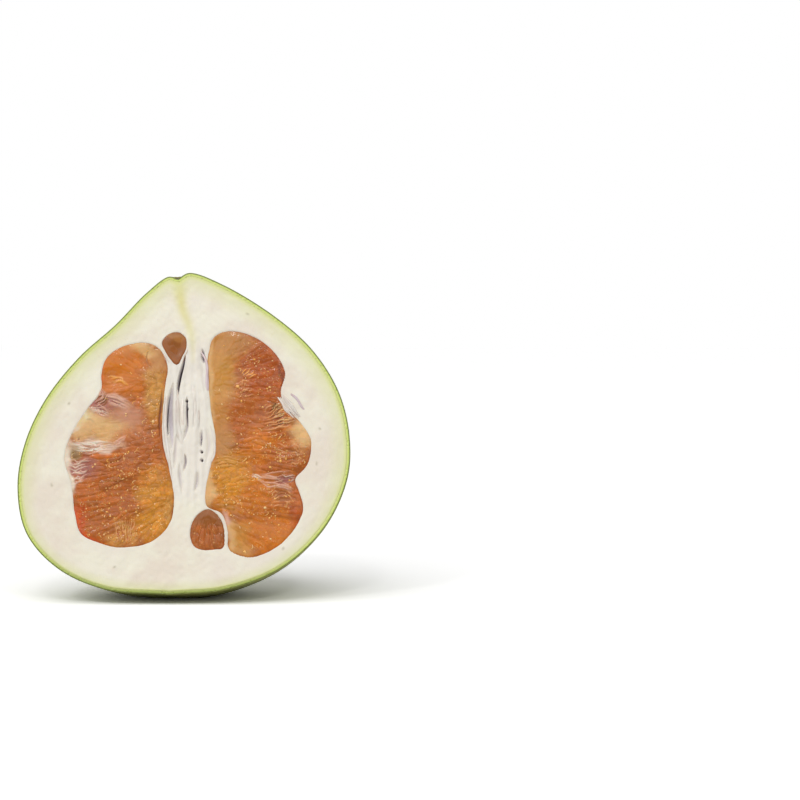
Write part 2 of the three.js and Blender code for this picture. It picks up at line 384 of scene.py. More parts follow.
@dataclass
class Surface:
    """A mesh in the making: points, four-sided faces and values at the points."""

    points: np.ndarray
    quads: np.ndarray
    values: Values = field(default_factory=dict)

    @classmethod
    def from_grid(cls, grid: np.ndarray, wrap: bool, values: Values | None = None) -> "Surface":
        """Joins a grid of points into faces, with open rows, and with closed columns if wrap is set.

        Args:
            grid: an array of rows by columns by 3.
            wrap: whether the last column joins the first.
            values: arrays of rows by columns, or with one more axis of 4 for a colour.

        Returns:
            The surface.
        """
        rows, columns = grid.shape[:2]
        index = np.arange(rows * columns).reshape(rows, columns)
        if wrap:
            index = np.concatenate([index, index[:, :1]], axis=1)
        quads = np.stack([index[:-1, :-1], index[:-1, 1:], index[1:, 1:], index[1:, :-1]], axis=-1)
        flat = {k: v.reshape(rows * columns, *v.shape[2:]) for k, v in (values or {}).items()}
        return cls(grid.reshape(-1, 3), quads.reshape(-1, 4), flat)

    @classmethod
    def joined(cls, parts: list["Surface"]) -> "Surface":
        """All the parts as one surface, with the values that they all have.

        Args:
            parts: the surfaces.

        Returns:
            The surface.
        """
        starts = np.cumsum([0] + [len(p.points) for p in parts[:-1]])
        names = set.intersection(*(set(p.values) for p in parts))
        return cls(
            np.concatenate([p.points for p in parts]),
            np.concatenate([p.quads + s for p, s in zip(parts, starts, strict=True)]),
            {n: np.concatenate([p.values[n] for p in parts]) for n in sorted(names)},
        )

    def flipped(self) -> "Surface":
        """The same surface with its faces turned round."""
        return Surface(self.points, self.quads[:, ::-1], self.values)

    def welded(self, tolerance: float = 1e-4) -> "Surface":
        """Merges points that fall together, which closes seams and poles.

        Args:
            tolerance: the side of the cubes that count as one place, in millimetres.

        Returns:
            The surface, with the values of one point for each place.
        """
        keys = np.round(self.points / tolerance).astype(np.int64)
        _, first, inverse = np.unique(keys, axis=0, return_index=True, return_inverse=True)
        values = {n: v[first] for n, v in self.values.items()}
        return Surface(self.points[first], inverse.reshape(-1)[self.quads], values)

    def faces(self) -> list[list[int]]:
        """The faces without repeated points: four-sided, or three-sided beside a pole, and no empty ones.

        Returns:
            Lists of three or four point numbers.
        """
        nxt = np.roll(self.quads, -1, axis=1)
        same = self.quads == nxt
        doubles = same.sum(axis=1)
        diagonal = (self.quads[:, 0] == self.quads[:, 2]) | (self.quads[:, 1] == self.quads[:, 3])
        whole = self.quads[(doubles == 0) & ~diagonal]
        thin = (doubles == 1) & ~diagonal
        three = self.quads[thin][~same[thin]].reshape(-1, 3)
        return whole.tolist() + three.tolist()

    def build(self, name: str, standing: Standing, floor: float = 0.0) -> Object:
        """Makes the Blender object, with its points in the row frame and its object at the origin.

        Args:
            name: the piece's name.
            standing: where the fruit's frame stands.
            floor: the lowest height that a point may have, in millimetres, where no value deep says it.

        Returns:
            The object, linked to the scene.
        """
        placed = standing.place(self.points)
        placed[:, 2] = np.maximum(placed[:, 2], self.values.get("deep", floor) * MM)
        mesh = bpy.data.meshes.new(name)
        mesh.from_pydata(placed, [], self.faces())
        for label, data in self.values.items():
            is_colour = data.ndim == 2
            attribute = mesh.attributes.new(label, "FLOAT_COLOR" if is_colour else "FLOAT", "POINT")
            attribute.data.foreach_set("color" if is_colour else "value", data.astype(np.float32).ravel())
        mesh.polygons.foreach_set("use_smooth", np.ones(len(mesh.polygons), bool))
        mesh.update()
        piece = bpy.data.objects.new(name, mesh)
        bpy.context.scene.collection.objects.link(piece)
        return piece


def tube(path: np.ndarray, across: np.ndarray, proud: np.ndarray, sides: int = 8) -> Surface:
    """An oval tube along a path on the face, closed at both ends.

    Each ring is the path's point plus cos a times the half width along the in-plane normal plus sin a times
    the half height straight out of the face. The end rings have no size, so that welding closes them.

    Args:
        path: N points (u, w, v).
        across: N half widths.
        proud: N half heights.
        sides: points in a ring.

    Returns:
        The surface.
    """
    tangent = np.gradient(path, axis=0)[:, [0, 2]]
    tangent /= np.maximum(np.linalg.norm(tangent, axis=1, keepdims=True), 1e-9)
    angle = np.linspace(0, 2 * math.pi, sides, endpoint=False)
    closing = np.ones(len(path))
    closing[[0, -1]] = 0
    wide = (across * closing)[:, None] * np.cos(angle)
    high = (proud * closing)[:, None] * np.sin(angle)
    ring = np.stack([tangent[:, 1:] * wide, -high, -tangent[:, :1] * wide], axis=-1)
    return Surface.from_grid(path[:, None] + ring, wrap=True).flipped()


@dataclass(frozen=True)
class JuiceSacs:
    """The pattern of cut juice sacs, which fan out from a spine beside the core in staggered rows."""

    spine: tuple[tuple[float, float], tuple[float, float]]
    seed: int
    width: float = 2.3
    first_line: float = 0.6
    first_row: float = 2.2
    growth: float = 1.3
    longest: float = 13.0
    reach: float = 62.0
    batch: int = 6000

    def seeds(self) -> tuple[np.ndarray, np.ndarray, np.ndarray]:
        """Lays the sacs out in rows, on lines offset from the spine, with longer sacs in the outer rows.

        A row runs up one side of the spine, round its top, down the other side and round its foot.

        Returns:
            The sacs' middles, headings and lengths.
        """
        random = np.random.default_rng(self.seed)
        low, high = np.array(self.spine[0]), np.array(self.spine[1])
        run = high - low
        straight = float(np.linalg.norm(run))
        along = run / straight
        beside = np.array([along[1], -along[0]])
        places, headings, lengths = [], [], []
        distance, length = self.first_line, self.first_row
        while distance < self.reach:
            around = 2 * straight + 2 * math.pi * distance
            count = max(6, round(around / self.width))
            order = np.arange(count) + random.uniform(-0.35, 0.35, count) + random.uniform()
            arc = order * around / count % around
            cap = math.pi * distance
            on_right = arc < straight
            on_top = (arc >= straight) & (arc < straight + cap)
            on_left = (arc >= straight + cap) & (arc < 2 * straight + cap)
            past_foot = (arc - 2 * straight - cap) / distance + math.pi
            angle = np.where(on_top, (arc - straight) / distance, past_foot)
            angle = np.where(on_right, 0, np.where(on_left, math.pi, angle))
            base = np.where(on_left, 2 * straight + cap - arc, 0)
            base = np.where(on_right, arc, np.where(on_top, straight, base))
            outward = np.cos(angle)[:, None] * beside + np.sin(angle)[:, None] * along
            shift = random.uniform(-0.45, 0.45, (count, 1)) * length
            places.append(low + base[:, None] * along + outward * (distance + shift))
            sway = random.normal(0, 0.16, count)
            turned = np.stack([-outward[:, 1], outward[:, 0]], axis=1)
            headings.append(outward * np.cos(sway)[:, None] + turned * np.sin(sway)[:, None])
            lengths.append(np.full(count, length) * random.uniform(0.8, 1.25, count))
            distance += length
            length = min(length * self.growth, self.longest)
        return np.concatenate(places), np.concatenate(headings), np.concatenate(lengths)

    def at(self, points: np.ndarray) -> tuple[np.ndarray, np.ndarray, np.ndarray]:
        """The sac of each point, by an oval distance that counts less along a sac than across it.

        Args:
            points: N points (u, v).

        Returns:
            For each point its sac's number, the share from its middle (0) to its wall (1), and how far it
            lies to one side of the sac's own line, in millimetres.
        """
        places, headings, lengths = self.seeds()
        middle = (points.min(0) + points.max(0)) / 2
        near = np.abs(places - middle) < np.ptp(points, axis=0) / 2 + self.longest + 1
        near = np.flatnonzero(near.all(axis=1))
        places, headings, lengths = places[near], headings[near], lengths[near]
        number = np.empty(len(points), int)
        inner, aside = np.empty(len(points)), np.empty(len(points))
        for start in range(0, len(points), self.batch):
            part = slice(start, start + self.batch)
            some = points[part]
            across = some[:, None, :] - places[None]
            along = np.einsum("nsk,sk->ns", across, headings) / lengths
            beside = (across[..., 0] * headings[:, 1] - across[..., 1] * headings[:, 0]) / self.width
            distance = along**2 + beside**2
            order = np.argpartition(distance, 1, axis=1)[:, :2]
            pair = np.sqrt(np.take_along_axis(distance, order, axis=1))
            swap = pair[:, 0] > pair[:, 1]
            order[swap] = order[swap][:, ::-1]
            pair[swap] = pair[swap][:, ::-1]
            number[part] = near[order[:, 0]]
            inner[part] = pair[:, 0] / np.maximum(pair[:, 1], 1e-6)
            own = np.take_along_axis(beside, order[:, :1], axis=1)[:, 0]
            aside[part] = own * self.width
        return number, inner, aside


@dataclass(frozen=True)
class Groove:
    """A split in the core: its path down the face, its width and its depth, in millimetres."""

    path: Pairs
    width: float
    depth: float = 3.2

    def at(self, points: np.ndarray) -> np.ndarray:
        """Depth at each point: a smooth step down inside the width, which tapers to nothing at both ends.

        Args:
            points: N points (u, v).

        Returns:
            N depths, in millimetres.
        """
        distance, share = nearest_on_path(points, Spline(self.path).even(40))
        taper = np.sqrt(np.sin(math.pi * np.clip(share, 0.02, 0.98)))
        return self.depth * taper * (1 - step(0, 0.62 * self.width * taper + 0.25, distance)) ** 1.6


class Shade(Enum):
    """Colours of the rind, the pith and the pulp's fine marks as they look in the light, with painted shade
    and highlights among them.
    """

    SKIN_GREEN = (164, 172, 64)
    SKIN_YELLOW = (194, 194, 88)
    SKIN_PALE = (206, 200, 104)
    OIL_GLAND = (118, 132, 40)
    SCUFF = (170, 148, 84)
    STEM_SCAR = (112, 88, 48)
    # Painted shade, laid over the skin near the foot.
    FOOT_PAINTED_SHADE = (112, 124, 44)
    CUT_OLIVE = (92, 106, 38)
    CUT_GREEN = (196, 212, 96)
    CUT_LEMON = (216, 221, 138)
    FLESH = (230, 219, 203)
    FLESH_PALE = (236, 231, 213)
    FLESH_BLUSH = (228, 214, 208)
    CORE = (231, 225, 215)
    STREAK = (220, 212, 138)
    GREENISH = (222, 222, 172)
    EDGE_GREEN = (220, 223, 150)
    # Painted shade for the core's hollows, and painted shadow for its deepest splits.
    HOLLOW = (200, 192, 200)
    SPLIT = (96, 80, 78)
    FRECKLE = (150, 140, 104)
    SAC_THREAD = (236, 166, 96)
    # Painted highlight colour for the pulp's glints.
    SAC_GLINT = (248, 196, 126)
    FIBRE_PINK = (244, 232, 226)
    FIBRE_WHITE = (255, 253, 250)

    def colour(self) -> Colour:
        """The colour in linear light."""
        return srgb(*self.value)
class Tone(Enum):
    """Colours of the wet pulp and the skins across it, as they look in the light, and painted glint colours.
    """

    AMBER = (182, 101, 42)
    ORANGE = (208, 122, 38)
    WHITE = (246, 240, 230)
    GOLD = (216, 146, 54)
    TAN = (190, 136, 80)
    HONEY = (205, 150, 78)
    BROWN = (178, 90, 40)
    UMBER = (154, 95, 52)
    DARK = (118, 58, 28)
    RED = (208, 90, 42)
    ROSE = (192, 134, 104)
    CLAY = (184, 106, 58)
    MAUVE = (164, 104, 98)
    OLIVE = (156, 130, 88)
    LILAC = (226, 206, 210)
    LIME = (222, 212, 164)
    STRAW = (227, 186, 128)
    CREAM = (232, 208, 186)
    MILK = (238, 228, 208)
    BLUSH = (222, 176, 152)
    SHELL = (228, 168, 112)
    # Painted highlight colours for glints on the wet pulp.
    GLINT = (255, 190, 96)
    PEARL_GLINT = (255, 220, 162)

    def linear(self) -> np.ndarray:
        """The colour in linear light, without alpha, less the veil that the wet coat's reflection adds."""
        return np.maximum(np.array(srgb(*self.value)[:3]) - WET_VEIL, 0.004)


@dataclass(frozen=True)
class Strand:
    """One strand on the face: its path, its half width along the path, and its colour."""

    path: np.ndarray
    width: np.ndarray
    tone: np.ndarray


@dataclass(frozen=True)
class Fan:
    """A fan of torn skins, folds or fibres across the face: where its first and its last strand run.

    The width is half the width of a strand. The height is half the height of a tube, or the height of a fold
    in the pulp, which sinks where it is below zero. The depth is how far a tube lies behind the cut plane.
    """

    first: Pairs
    last: Pairs
    count: int
    tone: Tone
    width: float = 0.5
    height: float = 0.3
    wobble: float = 0.5
    sink: float = 1.2
    depth: float = 0.0
    steps: int = 26

    @classmethod
    def single(cls, path: Pairs, tone: Tone, *sizes: float) -> "Fan":
        """One strand along one path, with its sizes in the order of the fields."""
        return cls(path, path, 1, tone, *sizes)
    def strands(self, seed: int) -> list[Strand]:
        """Tapered strands between the first and the last, each with its own ends, width, colour and waver.

        The share of each strand between the first and the last is even, plus a random part.

        Args:
            seed: the seed of the random draws.

        Returns:
            The strands.
        """
        random = np.random.default_rng(seed)
        first, last = (Spline(p).even(self.steps) for p in (self.first, self.last))
        along = np.linspace(0, 1, self.steps)
        strands = []
        for number in range(self.count):
            share = np.clip((number + random.uniform(-0.3, 0.3)) / max(self.count - 1, 1), 0, 1)
            flat = first + (last - first) * share
            start, end = random.uniform(0, 0.16), random.uniform(0.8, 1)
            kept = start + (end - start) * along
            flat = np.stack([np.interp(kept, along, flat[:, k]) for k in range(2)], axis=1)
            phase, pace = random.uniform(0, 2 * math.pi, 2), random.uniform(4, 9, 2)
            flat += self.wobble * np.sin(along[:, None] * pace + phase) * np.sin(math.pi * along)[:, None]
            arch = np.sin(math.pi * along) ** 0.6
            width = self.width * random.uniform(0.55, 1.3) * (0.25 + 0.75 * arch)
            strands.append(Strand(flat, width, self.tone.linear() * random.uniform(0.88, 1.08)))
        return strands

    def surface(self, seed: int) -> Surface:
        """Builds the strands as tubes that dip at both ends, so that they grow out of the tissue.

        Args:
            seed: the seed of the random draws.

        Returns:
            The surface, with the value tone.
        """
        parts = []
        for strand in self.strands(seed):
            arch = np.sin(math.pi * np.linspace(0, 1, len(strand.path))) ** 0.6
            back = self.depth + self.sink * (1 - arch)
            path = np.stack([strand.path[:, 0], back, strand.path[:, 1]], axis=1)
            whole = tube(path, strand.width, strand.width * self.height / self.width)
            colour = np.append(np.minimum(strand.tone, 1), 1)
            whole.values["tone"] = np.tile(colour, (len(whole.points), 1))
            parts.append(whole)
        return Surface.joined(parts)


@dataclass(frozen=True)
class Zone:
    """A soft patch of one tone on a cut segment: its middle, half sizes, turn in degrees, and skin.

    The skin is the share of smooth membrane over the sacs, from 0 for wet, open sacs to 1.
    """

    tone: Tone
    middle: tuple[float, float]
    reach: tuple[float, float]
    turn: float = 0.0
    skin: float = 0.0

    def weight(self, points: np.ndarray) -> np.ndarray:
        """The bell curve e^-(r^2.5), with r^2 = x^2 + y^2, and x and y in half sizes along the turned axes.

        Args:
            points: N points (u, v).

        Returns:
            N weights from 0 to 1.
        """
        angle = math.radians(self.turn)
        across, up = (points - np.array(self.middle)).T
        along = (across * math.cos(angle) + up * math.sin(angle)) / self.reach[0]
        beside = (up * math.cos(angle) - across * math.sin(angle)) / self.reach[1]
        return np.exp(-((along**2 + beside**2) ** 1.25))


@dataclass(frozen=True)
class FaceView:
    """What the face of a segment has at a set of points: its depth, sac pattern, cover and colour."""

    back: np.ndarray
    inside: np.ndarray
    wall: np.ndarray
    across: np.ndarray
    number: np.ndarray
    cover: np.ndarray
    tone: np.ndarray


@dataclass(frozen=True)
class Segment:
    """One cut segment of pulp, which sits in its pocket in the pith."""

    name: str
    node: str
    tissue: Tissue
    outline: Spline
    depth: float
    sacs: JuiceSacs
    ground: Tone
    zones: tuple[Zone, ...]
    folds: tuple[Fan, ...] = ()
    columns: int = 560
    rings: int = 140
    back_rings: int = 10
    grown: float = 1.5
    lip: float = 0.3
    shoulder: float = 6.0
    bulge: float = 0.19
    uneven: float = 0.12
    drift: float = 1.3
    fine_drift: float = 0.45
    ground_share: float = 0.16
    dip: float = 1.25
    swell: float = 0.25
    sac_shade: float = 0.075
    sac_warmth: float = 0.025
    gap_painted_shade: float = 0.13
    rim_painted_shade: Point = (0.2, 0.4, 0.5)
    fold_share: float = 0.9

    def pocket(self, inside: np.ndarray) -> np.ndarray:
        """Depth of the pocket at a distance inside the outline: a smooth shoulder down to the full depth."""
        return self.depth * step(-self.lip, self.shoulder - self.lip, inside)

    def pocket_at(self, points: np.ndarray) -> np.ndarray:
        """Depth of the pocket at each point of the face."""
        return self.pocket(depth_inside(points, self.outline.even(150)))

    def _grid(self) -> np.ndarray:
        """Rings of points from the middle to just outside the outline, which runs anticlockwise.

        Returns:
            An array of rings by columns by 2.
        """
        loop = self.outline.even(self.columns)
        tangent = np.roll(loop, -1, axis=0) - np.roll(loop, 1, axis=0)
        tangent /= np.linalg.norm(tangent, axis=1, keepdims=True)
        grown = loop + np.stack([tangent[:, 1], -tangent[:, 0]], axis=1) * self.grown
        middle = loop.mean(axis=0)
        share = np.linspace(0, 1, self.rings + 1) ** 0.85
        return middle + (grown - middle) * share[:, None, None]

    def _zoned(self, points: np.ndarray) -> tuple[np.ndarray, np.ndarray]:
        """Mixes the zones by their weights, with a share of the ground, after a slight drift of the points.

        Args:
            points: N points (u, v).

        Returns:
            N colours in linear light and N covers from 0 to 1.
        """
        drift = np.stack([Ripple(11, 5).at(points), Ripple(11, 6).at(points)], axis=1)
        finer = np.stack([Ripple(4, 9).at(points), Ripple(4, 10).at(points)], axis=1)
        moved = points + self.drift * drift + self.fine_drift * finer
        total = np.full(len(points), self.ground_share)
        colour = total[:, None] * self.ground.linear()
        cover = np.zeros(len(points))
        for zone in self.zones:
            weight = zone.weight(moved)
            total += weight
            colour += weight[:, None] * zone.tone.linear()
            cover += weight * zone.skin
        return colour / total[:, None], cover / total

    def _folded(self, points: np.ndarray) -> tuple[np.ndarray, np.ndarray, np.ndarray]:
        """Finds the folds at each point, by a bell curve across the nearest strand.

        Args:
            points: N points (u, v).

        Returns:
            N weights, N colours and N heights.
        """
        weight, height = np.zeros(len(points)), np.zeros(len(points))
        colour = np.zeros((len(points), 3))
        for number, fan in enumerate(self.folds):
            for strand in fan.strands(10 * self.sacs.seed + number):
                low, high = strand.path.min(0) - 2.5, strand.path.max(0) + 2.5
                near = np.flatnonzero(((points > low) & (points < high)).all(axis=1))
                if not len(near):
                    continue
                distance, share = nearest_on_path(points[near], strand.path)
                width = np.interp(share, np.linspace(0, 1, len(strand.width)), strand.width)
                taper = np.sqrt(np.sin(math.pi * np.clip(share, 0.01, 0.99)))
                bell = np.exp(-((distance / width) ** 2)) * taper
                more = bell > weight[near]
                weight[near[more]] = bell[more]
                height[near[more]] = bell[more] * fan.height
                colour[near[more]] = strand.tone
        return weight, colour, height

    def view(self, points: np.ndarray) -> FaceView:
        """The face at points (u, v), by the outline, the sacs, the zones and the folds.

        The depth is the dip behind the cut plane at the outline, less a slow swell, the bulge of every sac
        by its share to the power 2.2, each sac's own height and the folds. The dip, the bulge and the height
        are lower under a cover. The colour is the zones' mix, with a random brightness and warmth for each
        sac, painted shade in the gaps between sacs, a darker, redder last millimetre at the outline that is
        partly the pulp's own warm rim and partly painted shade of the groove along the pith, and the folds.

        Args:
            points: N points.

        Returns:
            The view.
        """
        inside = depth_inside(points, self.outline.even(260))
        number, wall, across = self.sacs.at(points)
        colour, cover = self._zoned(points)
        weight, fold_colour, height = self._folded(points)
        random = np.random.default_rng(self.sacs.seed + 2)
        lift = random.normal(0, self.uneven, SAC_DRAWS)[number]
        calm = step(0.2, 3.0, inside)
        bare = 1 - 0.85 * cover
        dome = bare * (self.bulge * (1 - wall**2.2) + lift * (1 - wall**4))
        dip = self.dip * (1 - 0.4 * cover) * (1 - step(-self.grown, 0.55, inside))
        swell = self.swell * Ripple(16, self.sacs.seed + 3).at(points)
        back = dip - calm * (dome + swell) - height
        shade = np.exp(random.normal(0, self.sac_shade, SAC_DRAWS))[number]
        warmth = random.normal(0, self.sac_warmth, SAC_DRAWS)[number]
        tint = np.stack([1 + warmth, np.ones(len(points)), 1 - warmth], axis=1)
        colour = colour * (1 + bare[:, None] * (shade[:, None] * tint - 1))
        # Painted shade: the gaps between the bare sacs are darkened.
        colour *= 1 - (self.gap_painted_shade * bare * step(0.84, 1, wall))[:, None]
        # Painted shade with some real colour: the last millimetre inside the outline darkens and reddens,
        # partly the pulp's own warm rim and partly shade of the groove along the pith.
        patchy = 0.55 + 0.45 * Ripple(24, 8).at(points)
        rim = (1 - step(-0.2, 1.2, inside)) * patchy * (1 - 0.7 * cover)
        colour *= 1 - np.clip(rim, 0, 1)[:, None] * np.array(self.rim_painted_shade)
        colour += self.fold_share * weight[:, None] * (fold_colour - colour)
        tone = np.concatenate([np.clip(colour, 0, 1), np.ones((len(points), 1))], axis=1)
        return FaceView(back, inside, wall, across, number, np.clip(cover + weight, 0, 1), tone)

    def surface(self) -> Surface:
        """Builds the closed piece: the cut front in rings, then the back against the pocket's wall.

        The back is half a millimetre and 4% short of the wall, and at least 0.3 mm behind the front.

        Returns:
            The surface, with the values tone, inside, wall, across, sac and cover.
        """
        rings = self._grid()
        shape = rings.shape[:2]
        seen = self.view(rings.reshape(-1, 2))
        values = {
            "tone": seen.tone.reshape(*shape, 4), "inside": seen.inside.reshape(shape),
            "wall": seen.wall.reshape(shape), "across": seen.across.reshape(shape),
            "sac": (seen.number % 97 / 97.0).reshape(shape), "cover": seen.cover.reshape(shape),
        }
        grid = np.stack([rings[..., 0], seen.back.reshape(shape), rings[..., 1]], axis=-1)
        picked = np.unique(np.linspace(0, self.rings, self.back_rings).round().astype(int))[::-1]
        behind = self.pocket(values["inside"])[picked] * 0.96 - 0.5
        back = grid[picked].copy()
        back[..., 1] = np.maximum(behind, grid[picked][..., 1] + 0.3)
        whole = np.concatenate([grid, back])
        all_values = {k: np.concatenate([v, v[picked]]) for k, v in values.items()}
        return Surface.from_grid(whole, wrap=True, values=all_values).flipped()


LEFT_SEGMENT = Segment(
    name="pulp_left",
    node="segment_left",
    tissue=Tissue.PULP,
    outline=Spline((
        (-16.5, 116.3), (-26.8, 115.3), (-35.2, 109.9), (-37.8, 101.8), (-37.6, 94.9), (-44.3, 85),
        (-51.3, 73.4), (-54.1, 62.4), (-50.6, 50.8), (-48.6, 37.2), (-45.8, 28.1), (-36, 23.1),
        (-26.4, 21.5), (-13.5, 24.1), (-5, 32.6), (-3.4, 42.1), (-5, 55.7), (-8.7, 69.4), (-9.1, 82.5),
        (-7.9, 97.5), (-7, 104.9), (-10.8, 113.6),
    ), closed=True),
    depth=16.5,
    sacs=JuiceSacs(spine=((-3, 45), (-8, 98)), seed=11),
    ground=Tone.AMBER,
    zones=(
        Zone(Tone.ORANGE, (-30, 105), (10, 10), skin=0.85),
        Zone(Tone.STRAW, (-19, 114.5), (6, 3.2), skin=0.9),
        Zone(Tone.TAN, (-12, 108.5), (3.8, 6), skin=1),
        Zone(Tone.HONEY, (-12.7, 93), (4, 10), skin=0.3),
        Zone(Tone.MAUVE, (-38.6, 90), (6.4, 4.2), -38, 0.5),
        Zone(Tone.BLUSH, (-30, 88), (6.5, 2.6), -26, 0.4),
        Zone(Tone.ROSE, (-26.5, 83), (6.4, 4.2), -20, 1),
        Zone(Tone.STRAW, (-37.5, 77.6), (11.5, 5.6), -4, 0.95),
        Zone(Tone.LIME, (-44.6, 81.6), (4, 2.2), 30, 1),
        Zone(Tone.MILK, (-45.4, 84.8), (1.5, 4), 35, 1),
        Zone(Tone.MILK, (-51.6, 74.6), (1.5, 5), -28, 1),
        Zone(Tone.CREAM, (-41, 68.6), (11, 1.9), -2, 1),
        Zone(Tone.MILK, (-54, 62.6), (1.7, 5), skin=1),
        Zone(Tone.MILK, (-51.6, 53), (1.6, 5), 12, 1),
        Zone(Tone.CREAM, (-52, 58), (1.6, 4), skin=1),
        Zone(Tone.OLIVE, (-50.5, 66), (3, 2.4), skin=0.5),
        Zone(Tone.MAUVE, (-46, 58), (4.5, 3.6), skin=0.2),
        Zone(Tone.CLAY, (-21.6, 71), (8, 7), skin=0.3),
        Zone(Tone.GOLD, (-11, 40), (6.5, 14), skin=0.1),
        Zone(Tone.HONEY, (-4, 40), (2, 10), skin=0.1),
        Zone(Tone.RED, (-47.2, 33.5), (2.2, 6.5), -8, 0.3),
        Zone(Tone.RED, (-42.6, 26), (6, 1.3), -30, 0.3),
        Zone(Tone.RED, (-38.4, 101), (1.2, 5), 4, 0.3),
        Zone(Tone.DARK, (-46.1, 73.9), (0.6, 0.6), skin=1),
        Zone(Tone.UMBER, (-49.5, 75.6), (0.9, 0.6), skin=1),
        Zone(Tone.OLIVE, (-42.4, 80), (1.1, 0.8), skin=1),
        Zone(Tone.HONEY, (-26, 28), (4.4, 5), skin=0.4),
    ),
    folds=(
        Fan(((-37.6, 94), (-39.6, 91.6), (-42.6, 89.4)),
            ((-33, 91.6), (-35, 88.6), (-38, 86.4)), 5, Tone.UMBER, 0.75, -0.35, 0.3),
        Fan(((-37, 95), (-38.4, 92.4), (-41, 90.6)),
            ((-34.4, 92.4), (-36.4, 89.4), (-39.8, 86.8)), 5, Tone.BLUSH, 0.5, 0.3, 0.3),
        Fan(((-35.5, 93), (-29, 91), (-23.3, 88)),
            ((-36, 88.4), (-30, 87), (-23.7, 84.6)), 5, Tone.BLUSH, 0.55, 0.3, 0.4),
        Fan(((-35.8, 91.6), (-30, 89.4), (-25, 87)),
            ((-36, 89.4), (-31, 88), (-26, 86)), 3, Tone.MAUVE, 0.5, -0.25, 0.3),
        Fan.single(((-16.4, 112.8), (-17, 107.8), (-13.6, 104.2)), Tone.UMBER, 0.34, -0.2, 0.2),
        Fan(((-14, 114), (-11.6, 114.8), (-9.6, 113.6)),
            ((-14, 113.4), (-11.6, 114.2), (-9.6, 113)), 2, Tone.UMBER, 0.4, -0.2, 0.2),
        Fan.single(((-8.8, 99), (-9.9, 90), (-10.3, 82), (-10.2, 72)), Tone.DARK, 0.6, -0.3, 0.3),
        Fan(((-45, 87.6), (-40, 85.8), (-34.3, 84)),
            ((-44, 86), (-39.6, 84.4), (-33, 82.6)), 4, Tone.CREAM, 0.26, 0.3, 0.7),
        Fan(((-43, 88), (-39, 87.4), (-34, 86)),
            ((-43.6, 85), (-39, 83.6), (-33, 81.4)), 6, Tone.BLUSH, 0.28, 0.25, 0.8),
        Fan(((-42, 87.2), (-38.6, 86.4), (-35, 85)),
            ((-42.6, 85.6), (-39, 84.4), (-34, 82.6)), 4, Tone.MAUVE, 0.28, -0.25, 0.7),
        Fan(((-32, 69.8), (-28.5, 71.8), (-24.6, 74)),
            ((-31.6, 68.2), (-28, 70), (-25, 72)), 3, Tone.BLUSH, 0.5, 0.3, 0.2),
        Fan(((-51, 70.7), (-42.3, 69.9), (-31.3, 70.4)),
            ((-50, 66.6), (-42.2, 65.6), (-32.1, 67.2)), 7, Tone.MILK, 0.34, 0.3, 0.7),
        Fan(((-50, 71), (-42, 70.6), (-30, 71.4)),
            ((-49, 65.6), (-42, 64.8), (-31, 65.6)), 8, Tone.BLUSH, 0.26, 0.25, 0.8),
        Fan(((-49, 69.6), (-42, 68.6), (-34, 69.4)),
            ((-48, 67.6), (-42, 66.6), (-35, 67.6)), 4, Tone.ROSE, 0.34, -0.2, 0.5),
        Fan(((-53.6, 61), (-48.6, 60.4), (-42.2, 61.6)),
            ((-50.4, 49.6), (-47.4, 50.9), (-44.4, 52)), 7, Tone.CREAM, 0.34, 0.3, 0.7),
        Fan(((-52.6, 62), (-48, 62), (-41, 63)),
            ((-50, 51), (-47, 52), (-43, 54)), 6, Tone.BLUSH, 0.26, 0.25, 0.8),
        Fan(((-30.6, 36), (-29.6, 28.2), (-28.1, 22.9)),
            ((-21, 36), (-21.8, 28.6), (-23, 22.4)), 9, Tone.SHELL, 0.22, 0.25, 0.6),
        Fan(((-29.6, 34), (-28.8, 28.2), (-27.4, 22.9)),
            ((-21.6, 34), (-22.4, 28.6), (-23.4, 22.6)), 7, Tone.BROWN, 0.3, -0.2, 0.3),
        # Painted highlight strokes.
        Fan(((-36, 100), (-31, 101), (-26.6, 97.6)),
            ((-33, 97.4), (-28, 98), (-24, 95.6)), 4, Tone.GLINT, 0.2, 0.25, 0.5),
    ),
)

